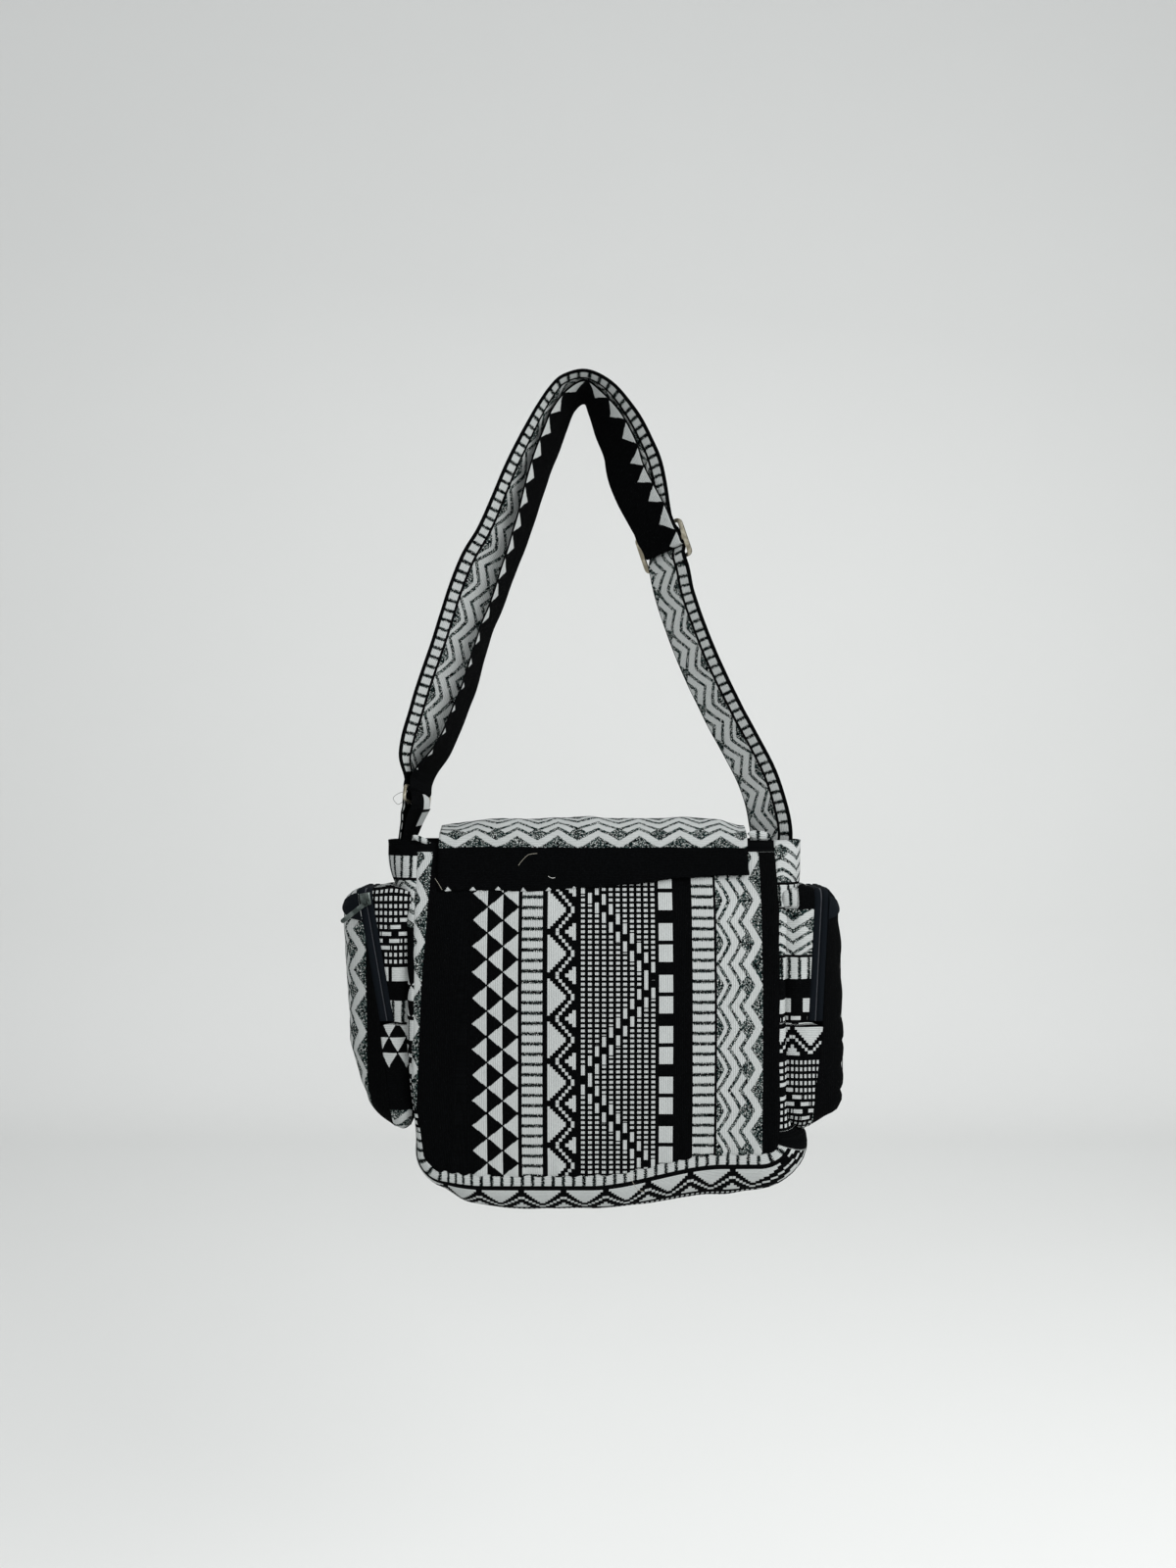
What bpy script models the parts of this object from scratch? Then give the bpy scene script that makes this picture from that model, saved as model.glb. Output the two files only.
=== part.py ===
# Crossbody bag of woven jacquard cloth, hanging by its doubled strap, with a zip pocket at each side.
# Metres, +Z up. The origin is where the strap hangs. -Y is the side that the flap is sewn to.

from math import asin, cos, pi, radians, sin, sqrt

import bmesh
import bpy
from mathutils import Matrix, Vector

# Cloth and sewing
CLOTH = 0.0024
SEAM_GAP = 0.0003
SEAT_ROOM = 0.0009
WALL_EDGE_GAP = 0.0006
ZIP_END_GAP = 0.0006

# Body of the bag
PANEL_WIDTH = 0.2974
PANEL_HEIGHT = 0.2715
PANEL_CENTRE_X = 0.015
MOUTH_Z = -0.383
CORNER_RADIUS = 0.016
RIGHT_LIFT = 0.0175
LEFT_LIFT = 0.004
PANEL_BULGE = 0.006
BASE_WRAP = 0.035
GUSSET_SWAY = 0.060
FRONT_Y = 0.028
BACK_PROFILE = ((0.0, -0.022), (0.13, -0.036), (0.28, -0.047), (0.6, -0.052), (1.0, -0.048))
# How far the gusset swells out, along the seam from the left end of the mouth to the right end
GUSSET_BULGE = ((0.0, 0.027), (0.03, 0.024), (0.07, 0.012), (0.20, 0.007), (0.30, 0.0075),
                (0.37, 0.030), (0.50, 0.035), (0.62, 0.041), (0.65, 0.033), (0.675, 0.020),
                (0.70, 0.0115), (0.76, 0.0095), (0.89, 0.0095), (0.94, 0.019), (1.0, 0.0245))

# Flap
FLAP_LEFT = -0.115
FLAP_RIGHT = 0.140
FLAP_HEM_Z = -0.4175
FLAP_RISE = 0.0175
FLAP_DROP = 0.200

# Side pockets
POCKET_CENTRE_Y = -0.0115
POCKET_WIDTH = 0.060
POCKET_TOP_Z = -0.4224
POCKET_HEIGHT = 0.1966
POCKET_TOP_RADIUS = 0.010
POCKET_BASE_RADIUS = 0.020
POCKET_PUFF = 0.002
ZIP_RUN_END = 0.107
ZIP_TAPE = 0.004
ZIP_TAPE_THICK = 0.0014
TEETH_WIDTH = 0.004
TEETH_THICK = 0.0022
TEETH_PROUD = 0.0007
ZIP_RAMP = 0.004
# Distance of the zip's middle from the panel's edge at its top, its lower ends and the pocket's foot
LEFT_ZIP_REACH = (0.0405, 0.0220, 0.0105)
RIGHT_ZIP_REACH = (0.0355, 0.0302, 0.0200)
# Swell of the pocket's face, by depth below the pocket's top
LEFT_DOME = ((0.0, 0.0), (0.004, 0.009), (0.012, 0.0155), (0.024, 0.0190), (0.056, 0.0232), (0.097, 0.0280),
             (0.120, 0.0297), (0.137, 0.0290), (0.153, 0.0266), (0.169, 0.0225), (0.185, 0.0160), (0.1966, 0.0))
RIGHT_DOME = ((0.0, 0.0), (0.004, 0.005), (0.012, 0.0100), (0.028, 0.0136), (0.055, 0.0163), (0.090, 0.0190),
              (0.126, 0.0228), (0.150, 0.0256), (0.170, 0.0268), (0.180, 0.0262), (0.187, 0.0200), (0.1966, 0.0))

# Zip sliders and pulls
SLIDER_LENGTH = 0.010
SLIDER_WIDTH = 0.0086
SLIDER_PLATE = 0.0018
SLIDER_CLEARANCE = 0.0003
SLIDER_REST_DROP = 0.0075
BRIDGE_LENGTH = 0.0076
BRIDGE_LEG = 0.0012
BRIDGE_WIDTH = 0.0018
BRIDGE_BAR = 0.0010
BRIDGE_CHAMFER = 0.0007
BRIDGE_SILL = 0.0003
PULL_LENGTH = 0.025
PULL_WIDTH = 0.0038
PULL_THICK = 0.0014
PULL_ROOM = 0.0005
EYE_WALL = 0.0011
EYE_CLEARANCE = 0.0004
LEFT_PULL_TURN = radians(62)

# Strap and its metal
STRAP_WIDTH = 0.038
STRAP_THICK = 0.0022
TAB_THICK = 0.0020
TAB_WIDTH = 0.030
TAB_TUCK = 0.014
STRAP_CLEARANCE = 0.0004
RING_WIRE = 0.0030
RING_INNER_HEIGHT = 0.0095
RING_SIDE_ROOM = 0.0012
RING_CORNER = 0.0035
RING_SWING_ROOM = 0.0020
SLIDE_THICK = 0.0024
SLIDE_BAR = 0.0030
SLIDE_SLOT = 0.0120
SLIDE_SIDE = 0.0035
SLIDE_TILT_ROOM = 0.0009

# Strap route: centre x, y, z, lie of the outer edge in the picture plane, and turn of that edge
# towards -Y, both in degrees
ANCHOR_RUN = (
    (0.1615, 0.0035, -0.3960, 12, 22), (0.1635, 0.0020, -0.3734, 20, 28),
    (0.1519, 0.0000, -0.3310, 24, 32), (0.1216, -0.0040, -0.2740, 25, 33),
    (0.0991, -0.0060, -0.2262, 25, 33), (0.0825, -0.0080, -0.1811, 23, 34),
)
OUTER_RUN = (
    (0.0566, -0.0066, -0.0762, 26, 33), (0.0486, -0.0058, -0.0516, 28, 41),
    (0.0362, -0.0048, -0.0272, 35, 50), (0.0228, -0.0042, -0.0063, 55, 66),
    (0.0066, -0.0040, 0.0041, 90, 76), (-0.0099, -0.0040, -0.0002, 120, 73),
    (-0.0192, -0.0040, -0.0114, 140, 67), (-0.0288, -0.0040, -0.0289, 147, 60),
    (-0.0389, -0.0040, -0.0518, 152, 52), (-0.0491, -0.0040, -0.0752, 154, 45),
    (-0.0588, -0.0040, -0.1018, 155, 36), (-0.0695, -0.0040, -0.1282, 154, 27),
    (-0.0827, -0.0040, -0.1524, 150, 16), (-0.0934, -0.0040, -0.1805, 158, 9),
    (-0.1020, -0.0040, -0.2086, 159, 8), (-0.1100, -0.0040, -0.2326, 159, 8),
    (-0.1182, -0.0040, -0.2566, 160, 10), (-0.1260, -0.0030, -0.2814, 162, 17),
    (-0.1332, -0.0006, -0.3004, 161, 34), (-0.1388, 0.0028, -0.3170, 155, 56),
)
INNER_RUN = (
    (-0.1274, 0.0008, -0.3230, 152, 69), (-0.1161, -0.0010, -0.3086, 155, 72),
    (-0.1070, -0.0010, -0.2904, 156, 75), (-0.0987, -0.0010, -0.2697, 157, 76),
    (-0.0920, -0.0010, -0.2531, 157, 77), (-0.0854, -0.0010, -0.2299, 157, 78),
    (-0.0779, -0.0010, -0.2050, 157, 79), (-0.0705, -0.0010, -0.1876, 157, 79),
    (-0.0645, -0.0010, -0.1702, 157, 78), (-0.0578, -0.0010, -0.1511, 157, 76),
    (-0.0500, 0.0000, -0.1285, 156, 73), (-0.0433, 0.0000, -0.1069, 156, 71),
    (-0.0375, 0.0010, -0.0851, 155, 68), (-0.0306, 0.0030, -0.0630, 153, 66),
    (-0.0229, 0.0040, -0.0436, 150, 65), (-0.0159, 0.0060, -0.0247, 145, 68),
    (-0.0067, 0.0070, -0.0094, 125, 74), (0.0050, 0.0080, -0.0016, 90, 76),
    (0.0141, 0.0060, -0.0114, 55, 66), (0.0249, 0.0026, -0.0297, 35, 50),
    (0.0354, 0.0006, -0.0524, 28, 41), (0.0424, -0.0014, -0.0780, 26, 33),
)
RING_CENTRE = Vector((-0.1361, 0.0, -0.3410))
RING_LIE = (150, 66)
SLIDE_CENTRE = Vector((0.0717, -0.0090, -0.1360))
SLIDE_LIE = (20, 34)
SLIDE_AIM = Vector((-0.27, 0.0, 0.96))

PANEL_LEFT = PANEL_CENTRE_X - PANEL_WIDTH / 2
PANEL_RIGHT = PANEL_CENTRE_X + PANEL_WIDTH / 2
GUSSET_INSET = CLOTH + SEAM_GAP
SEAM_STEPS = (
    (PANEL_HEIGHT - CORNER_RADIUS, 0.0),
    (CORNER_RADIUS * pi / 2, pi / 2),
    (PANEL_WIDTH - 2 * CORNER_RADIUS, 0.0),
    (CORNER_RADIUS * pi / 2, pi / 2),
    (PANEL_HEIGHT - CORNER_RADIUS, 0.0),
)
SEAM_LENGTH = sum(length for length, turn in SEAM_STEPS)


def clamp(value, low=0.0, high=1.0):
    return max(low, min(high, value))


def smooth(value):
    t = clamp(value)
    return t * t * (3 - 2 * t)


def lerp(a, b, t):
    return a + (b - a) * t


def table(points, x):
    """Smooth value at x through (x, value) pairs, level beyond the first and the last."""
    if x <= points[0][0]:
        return points[0][1]
    for k in range(len(points) - 1):
        x0, v0 = points[k]
        x1, v1 = points[k + 1]
        if x <= x1:
            before = points[max(k - 1, 0)]
            after = points[min(k + 2, len(points) - 1)]
            slope0 = (v1 - before[1]) / (x1 - before[0])
            slope1 = (after[1] - v0) / (after[0] - x0)
            span = x1 - x0
            t = (x - x0) / span
            a = v0 + slope0 * span * t
            b = v1 - slope1 * span * (1 - t)
            return lerp(a, b, t * t * (3 - 2 * t))
    return points[-1][1]


def walk(start, heading, steps, distance):
    """Place and heading after a distance along straight runs and arcs, given as (length, turn)."""
    x, y = start
    for length, turn in steps:
        part = clamp(distance, 0.0, length)
        if turn:
            radius = length / turn
            end = heading + turn * part / length
            x += radius * (sin(end) - sin(heading))
            y += radius * (cos(heading) - cos(end))
            heading = end
        else:
            x += part * cos(heading)
            y += part * sin(heading)
        distance -= part
        if distance <= 0:
            break
    return x, y, heading


def catmull(points, per_span):
    """Smooth chain of vectors through the given ones."""
    chain = []
    for k in range(len(points) - 1):
        p1, p2 = points[k], points[k + 1]
        p0 = points[k - 1] if k else p1 * 2 - p2
        p3 = points[k + 2] if k + 2 < len(points) else p2 * 2 - p1
        for j in range(per_span):
            t = j / per_span
            chain.append(0.5 * (2 * p1 + (p2 - p0) * t + (2 * p0 - 5 * p1 + 4 * p2 - p3) * t ** 2
                                + (3 * p1 - p0 - 3 * p2 + p3) * t ** 3))
    return chain + [points[-1].copy()]


def steps_between(low, high, count):
    return [lerp(low, high, k / count) for k in range(count + 1)]


def make_material(name, color, metallic, roughness):
    material = bpy.data.materials.new(name)
    material.use_nodes = True
    shader = material.node_tree.nodes["Principled BSDF"]
    shader.inputs["Base Color"].default_value = (*color, 1)
    shader.inputs["Metallic"].default_value = metallic
    shader.inputs["Roughness"].default_value = roughness
    return material


def finish_object(obj, look, smooth_shaded=True):
    obj.data.materials.append(make_material(f"{obj.name}_{look[0]}", *look[1:]))
    if smooth_shaded and obj.type == "MESH":
        obj.data.shade_smooth()
        obj.data.set_sharp_from_angle(angle=radians(50))
    return obj


def cloth(name, across, along, place, thickness, look, closed=False):
    """A sheet laid through place(a, b) for each pair of grid values, thickened evenly."""
    bm = bmesh.new()
    columns = len(across) - 1
    rows = len(along) - 1
    bmesh.ops.create_grid(bm, x_segments=columns, y_segments=rows, size=1.0)
    for vert in bm.verts:
        column = round((vert.co.x + 1) / 2 * columns)
        row = round((vert.co.y + 1) / 2 * rows)
        vert.co = place(across[column], along[row])
    if closed:
        bmesh.ops.remove_doubles(bm, verts=bm.verts, dist=0.00005)
    mesh = bpy.data.meshes.new(name)
    bm.to_mesh(mesh)
    bm.free()
    obj = bpy.data.objects.new(name, mesh)
    bag.objects.link(obj)
    solid = obj.modifiers.new("Thickness", "SOLIDIFY")
    solid.thickness = thickness
    solid.offset = 0.0
    solid.use_even_offset = False
    return finish_object(obj, look)


def flat_outline(name, outlines, thickness, frame, look, collection=None):
    """A plate cut to closed outlines in its own plane, set by a frame matrix."""
    curve = bpy.data.curves.new(name, "CURVE")
    curve.dimensions = "2D"
    curve.fill_mode = "BOTH"
    curve.extrude = thickness / 2
    for outline in outlines:
        spline = curve.splines.new("POLY")
        spline.points.add(len(outline) - 1)
        for point, (x, y) in zip(spline.points, outline):
            point.co = (x, y, 0, 1)
        spline.use_cyclic_u = True
    obj = bpy.data.objects.new(name, curve)
    (collection or bag).objects.link(obj)
    obj.matrix_world = frame
    return finish_object(obj, look) if look else obj


def rounded_rectangle(width, height, radius, corner_steps=4):
    points = []
    for corner, (sx, sy) in enumerate(((1, 1), (-1, 1), (-1, -1), (1, -1))):
        centre_x = sx * (width / 2 - radius)
        centre_y = sy * (height / 2 - radius)
        for k in range(corner_steps + 1):
            angle = pi / 2 * (corner + k / corner_steps)
            points.append((centre_x + radius * cos(angle), centre_y + radius * sin(angle)))
    return points


def as_mesh(obj):
    """Turn a curve object into a welded mesh object with the same name and place."""
    name = obj.name
    matrix = obj.matrix_world.copy()
    collection = obj.users_collection[0]
    graph = bpy.context.evaluated_depsgraph_get()
    mesh = bpy.data.meshes.new_from_object(obj.evaluated_get(graph))
    bpy.data.objects.remove(obj)
    bm = bmesh.new()
    bm.from_mesh(mesh)
    bmesh.ops.remove_doubles(bm, verts=bm.verts, dist=0.00001)
    bmesh.ops.recalc_face_normals(bm, faces=bm.faces)
    bm.to_mesh(mesh)
    bm.free()
    solid = bpy.data.objects.new(name, mesh)
    solid.matrix_world = matrix
    collection.objects.link(solid)
    return solid


def frame_matrix(origin, x_axis, y_axis, z_axis):
    matrix = Matrix.Identity(4)
    for column, axis in enumerate((x_axis, y_axis, z_axis)):
        for row in range(3):
            matrix[row][column] = axis[row]
    matrix.translation = origin
    return matrix


# Body shape

def back_y(v):
    return table(BACK_PROFILE, v)


def lift(u, v):
    """Rise of the cloth above its straight-cut place, towards the bottom corners."""
    right = RIGHT_LIFT * smooth((u - 0.48) / 0.37)
    left = LEFT_LIFT * smooth((0.2 - u) / 0.2)
    return (right + left) * v ** 3


def seam(distance):
    """Seam point x, depth fraction, outward x and z, at a distance along the U of the panel's edge."""
    x, z, heading = walk((PANEL_LEFT, MOUTH_Z), -pi / 2, SEAM_STEPS, distance)
    v = (MOUTH_Z - z) / PANEL_HEIGHT
    u = (x - PANEL_LEFT) / PANEL_WIDTH
    return x, z + lift(u, v), v, sin(heading), -cos(heading)


def gusset_point(distance, across):
    x, z, v, out_x, out_z = seam(distance)
    near = back_y(v) + GUSSET_INSET
    far = FRONT_Y - GUSSET_INSET
    swell = table(GUSSET_BULGE, distance / SEAM_LENGTH) * sin(pi * across)
    y = lerp(near, far, (1 - cos(pi * across)) / 2)
    return Vector((x + out_x * swell, y, z + out_z * swell))


def panel_row_inset(v):
    """How far the rounded lower corner draws the panel's edge in at a depth fraction."""
    above = (1 - v) * PANEL_HEIGHT
    if above >= CORNER_RADIUS:
        return 0.0
    return CORNER_RADIUS - sqrt(max(CORNER_RADIUS ** 2 - (CORNER_RADIUS - above) ** 2, 0.0))


def panel_point(u, v, y_at):
    inset = panel_row_inset(v)
    x = lerp(PANEL_LEFT + inset, PANEL_RIGHT - inset, u)
    u_flat = (x - PANEL_LEFT) / PANEL_WIDTH
    z = MOUTH_Z - v * PANEL_HEIGHT + lift(u_flat, v)
    return Vector((x, y_at(u_flat, v), z))


def back_surface(u, v):
    return back_y(v) - PANEL_BULGE * sin(pi * clamp(u)) * sin(pi * clamp(v)) ** 0.7


def front_surface(u, v):
    return FRONT_Y + PANEL_BULGE * 0.3 * sin(pi * clamp(u)) * sin(pi * clamp(v))


def add_body():
    columns = steps_between(0.0, 1.0, 12)
    corner = CORNER_RADIUS / PANEL_HEIGHT
    rows = steps_between(0.0, 1 - corner, 9) + [1 - corner * (1 - sin(k * pi / 8)) for k in (1, 2, 3, 4)]
    cloth("back_panel", columns, rows, lambda u, v: panel_point(u, v, back_surface), CLOTH, JACQUARD)
    cloth("front_panel", columns, rows, lambda u, v: panel_point(u, v, front_surface), CLOTH, JACQUARD)

    left_end = PANEL_HEIGHT - CORNER_RADIUS - BASE_WRAP
    right_end = SEAM_LENGTH - left_end
    around = steps_between(0.0, 1.0, 8)
    left = steps_between(0.0, GUSSET_SWAY, 6) + steps_between(GUSSET_SWAY, left_end, 9)[1:]
    base = steps_between(left_end + SEAM_GAP, right_end - SEAM_GAP, 28)
    right = (steps_between(right_end, SEAM_LENGTH - GUSSET_SWAY, 9)
             + steps_between(SEAM_LENGTH - GUSSET_SWAY, SEAM_LENGTH, 6)[1:])
    for name, along in (("left_gusset", left), ("base_gusset", base), ("right_gusset", right)):
        cloth(name, around, along, lambda a, d: gusset_point(d, a), CLOTH, JACQUARD)


def flap_path(u):
    """Middle of the flap's cloth in y and z, from its sewn hem over the mouth and down the far side."""
    off = CLOTH + SEAM_GAP
    points = []
    for share in (0.0, 0.5, 0.85):
        z = lerp(FLAP_HEM_Z, MOUTH_Z, share)
        v = (MOUTH_Z - z) / PANEL_HEIGHT
        points.append(Vector((0.0, back_surface(u, v) - off - 0.0004, z)))
    mouth_near = back_y(0.0)
    far = FRONT_Y + off + PANEL_BULGE * 0.3
    top = MOUTH_Z + FLAP_RISE
    points.append(Vector((0.0, mouth_near - off, MOUTH_Z + 0.004)))
    points.append(Vector((0.0, mouth_near * 0.62, lerp(MOUTH_Z, top, 0.75))))
    points.append(Vector((0.0, -0.002, top)))
    points.append(Vector((0.0, FRONT_Y * 0.6, lerp(MOUTH_Z, top, 0.80))))
    points.append(Vector((0.0, far, MOUTH_Z - 0.001)))
    for share in (0.25, 0.6, 1.0):
        points.append(Vector((0.0, far, MOUTH_Z - FLAP_DROP * share)))
    return catmull(points, 2)


def add_flap():
    rows = len(flap_path(0.5))

    def place(share, row):
        x = lerp(FLAP_LEFT, FLAP_RIGHT, share)
        point = flap_path((x - PANEL_LEFT) / PANEL_WIDTH)[row]
        return Vector((x, point.y, point.z))

    cloth("flap", steps_between(0.0, 1.0, 8), list(range(rows)), place, CLOTH, JACQUARD)


# Side pockets

def gusset_reach(side, y, z):
    """How far the gusset's middle surface stands out from the panel's edge, at y and z."""
    u = 0.0 if side < 0 else 1.0
    flat_z = z
    for _ in range(5):
        flat_z = z - lift(u, (MOUTH_Z - flat_z) / PANEL_HEIGHT)
    v = clamp((MOUTH_Z - flat_z) / PANEL_HEIGHT)
    distance = MOUTH_Z - flat_z if side < 0 else SEAM_LENGTH - (MOUTH_Z - flat_z)
    near = back_y(v) + GUSSET_INSET
    far = FRONT_Y - GUSSET_INSET
    level = clamp((near + far - 2 * y) / (far - near), -0.97, 0.97)
    return table(GUSSET_BULGE, distance / SEAM_LENGTH) * sqrt(1 - level ** 2)


def gusset_seat(side, y, z):
    """Distance from the panel's edge that clears the gusset's cloth, square to its slope there."""
    step = CLOTH / 2
    slope_y = (gusset_reach(side, y + step, z) - gusset_reach(side, y - step, z)) / CLOTH
    slope_z = (gusset_reach(side, y, z + step) - gusset_reach(side, y, z - step)) / CLOTH
    return gusset_reach(side, y, z) + (CLOTH / 2 + SEAM_GAP) * sqrt(1 + slope_y ** 2 + slope_z ** 2)


POCKET_HALF = POCKET_WIDTH / 2
POCKET_BASE_Z = POCKET_TOP_Z - POCKET_HEIGHT
ZIP_END_Z = POCKET_TOP_Z - ZIP_RUN_END
BAND_HALF = TEETH_WIDTH / 2 + SEAM_GAP + ZIP_TAPE
POCKET_STEPS = (
    (POCKET_HALF - POCKET_BASE_RADIUS, 0.0),
    (POCKET_BASE_RADIUS * pi / 2, -pi / 2),
    (POCKET_HEIGHT - POCKET_BASE_RADIUS - POCKET_TOP_RADIUS, 0.0),
    (POCKET_TOP_RADIUS * pi / 2, -pi / 2),
    (POCKET_WIDTH - 2 * POCKET_TOP_RADIUS, 0.0),
    (POCKET_TOP_RADIUS * pi / 2, -pi / 2),
    (POCKET_HEIGHT - POCKET_BASE_RADIUS - POCKET_TOP_RADIUS, 0.0),
    (POCKET_BASE_RADIUS * pi / 2, -pi / 2),
    (POCKET_HALF - POCKET_BASE_RADIUS, 0.0),
)
POCKET_LENGTH = sum(length for length, turn in POCKET_STEPS)
ZIP_START = (POCKET_STEPS[0][0] + POCKET_STEPS[1][0] + ZIP_END_Z - POCKET_BASE_Z - POCKET_BASE_RADIUS)


def pocket_outline(distance):
    """Point y, z and outward y, z of the pocket's outline, from the middle of its foot."""
    y, z, heading = walk((POCKET_CENTRE_Y, POCKET_BASE_Z), pi, POCKET_STEPS, distance)
    return y, z, -sin(heading), cos(heading)


def outline_half_width(z):
    """Half the pocket's width at a height."""
    below_top = POCKET_TOP_Z - z
    above_base = z - POCKET_BASE_Z
    if below_top < POCKET_TOP_RADIUS:
        part = POCKET_TOP_RADIUS - max(below_top, 0.0)
        return POCKET_HALF - POCKET_TOP_RADIUS + sqrt(POCKET_TOP_RADIUS ** 2 - part ** 2)
    if above_base < POCKET_BASE_RADIUS:
        part = POCKET_BASE_RADIUS - max(above_base, 0.0)
        return POCKET_HALF - POCKET_BASE_RADIUS + sqrt(POCKET_BASE_RADIUS ** 2 - part ** 2)
    return POCKET_HALF


def zip_reach(reach, z):
    """Distance of the zip's middle line from the panel's edge at a height."""
    top, end, foot = reach
    if z >= ZIP_END_Z:
        return lerp(end, top, (z - ZIP_END_Z) / (POCKET_TOP_Z - ZIP_END_Z))
    return lerp(end, foot, (ZIP_END_Z - z) / (ZIP_END_Z - POCKET_BASE_Z))


def pocket_point(edge_x, side, reach, y, z):
    return Vector((edge_x + side * reach, y, z))


def add_pocket(prefix, side, edge_x, reach, dome):
    zip_stop = POCKET_LENGTH - ZIP_START
    stations = (steps_between(0.0, ZIP_START - ZIP_RAMP, 10)
                + steps_between(ZIP_START, zip_stop, 26)
                + steps_between(zip_stop + ZIP_RAMP, POCKET_LENGTH, 10))
    face_edge = BAND_HALF + SEAM_GAP + CLOTH / 2

    def wall(distance, share):
        y, z, out_y, out_z = pocket_outline(distance)
        seats = [gusset_seat(side, y + out_y * k * CLOTH, z + out_z * k * CLOTH) for k in (-0.5, 0.0, 0.5)]
        base = max(seats) + SEAT_ROOM
        middle = zip_reach(reach, z)
        with_zip = ZIP_START <= distance <= zip_stop
        top = middle - BAND_HALF - WALL_EDGE_GAP if with_zip else middle + BAND_HALF
        push = POCKET_PUFF * sin(pi * share) ** 2
        return pocket_point(edge_x, side, lerp(base, top, share), y + out_y * push, z + out_z * push)

    cloth(f"{prefix}_pocket_wall", stations, steps_between(0.0, 1.0, 3), wall, CLOTH, JACQUARD, True)

    def face(distance, ring):
        y_rim, z_rim, _, _ = pocket_outline(distance)
        middle_z = (POCKET_TOP_Z + POCKET_BASE_Z) / 2
        flat = POCKET_HEIGHT / 2 - POCKET_HALF
        spine_z = middle_z + clamp(z_rim - middle_z, -flat, flat)
        y = lerp(POCKET_CENTRE_Y, y_rim, ring)
        z = lerp(spine_z, z_rim, ring)
        level = abs(y - POCKET_CENTRE_Y) / outline_half_width(z)
        swell = table(dome, POCKET_TOP_Z - z) * (1 - clamp(level) ** 2.5)
        return pocket_point(edge_x, side, zip_reach(reach, z) + face_edge + swell, y, z)

    add_face(f"{prefix}_pocket_face", face)

    along = steps_between(ZIP_START + ZIP_END_GAP, zip_stop - ZIP_END_GAP, 26)

    def band(low, high, proud):
        def place(distance, share):
            y, z, out_y, out_z = pocket_outline(distance)
            away = zip_reach(reach, z) + lerp(low, high, share)
            return pocket_point(edge_x, side, away, y + out_y * proud, z + out_z * proud)
        return place

    half = TEETH_WIDTH / 2
    inner = band(-BAND_HALF, -half - SEAM_GAP, 0.0)
    outer = band(half + SEAM_GAP, BAND_HALF, 0.0)
    teeth = band(-half, half, TEETH_PROUD)
    ends = [0.0, 1.0]
    cloth(f"{prefix}_zip_inner_tape", along, ends, inner, ZIP_TAPE_THICK, TAPE)
    cloth(f"{prefix}_zip_outer_tape", along, ends, outer, ZIP_TAPE_THICK, TAPE)
    cloth(f"{prefix}_zip_teeth", along, ends, teeth, TEETH_THICK, TEETH)


def add_face(name, place):
    """Domed face of a pocket: a filled outline whose inner points follow place(distance, ring)."""
    count = 36
    rims = [k / count * POCKET_LENGTH for k in range(count)]
    rings = (0.12, 0.4, 0.65, 0.85, 1.0)
    bm = bmesh.new()
    loops = [[bm.verts.new(place(distance, ring)) for distance in rims] for ring in rings]
    for inner, outer in zip(loops, loops[1:]):
        for k in range(count):
            n = (k + 1) % count
            bm.faces.new((inner[k], inner[n], outer[n], outer[k]))
    half = count // 2
    for k in range(half - 1):
        bm.faces.new((loops[0][k], loops[0][count - 1 - k], loops[0][count - 2 - k], loops[0][k + 1]))
    bmesh.ops.recalc_face_normals(bm, faces=bm.faces)
    mesh = bpy.data.meshes.new(name)
    bm.to_mesh(mesh)
    bm.free()
    obj = bpy.data.objects.new(name, mesh)
    bag.objects.link(obj)
    solid = obj.modifiers.new("Thickness", "SOLIDIFY")
    solid.thickness = CLOTH
    solid.offset = 0.0
    return finish_object(obj, JACQUARD)


# Zip sliders and pulls

def run_frame(side, edge_x, reach, facing, drop):
    """Origin, across, along and outward axes on a zip's straight run, a drop below its top."""
    top, end, _ = reach
    start = Vector((edge_x + side * top, 0.0, POCKET_TOP_Z))
    stop = Vector((edge_x + side * end, 0.0, ZIP_END_Z))
    along = (start - stop).normalized()
    out = Vector((0.0, facing, 0.0))
    across = along.cross(out)
    origin = start - along * drop
    origin.y = POCKET_CENTRE_Y + facing * POCKET_HALF
    return origin, across, along, out


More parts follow.
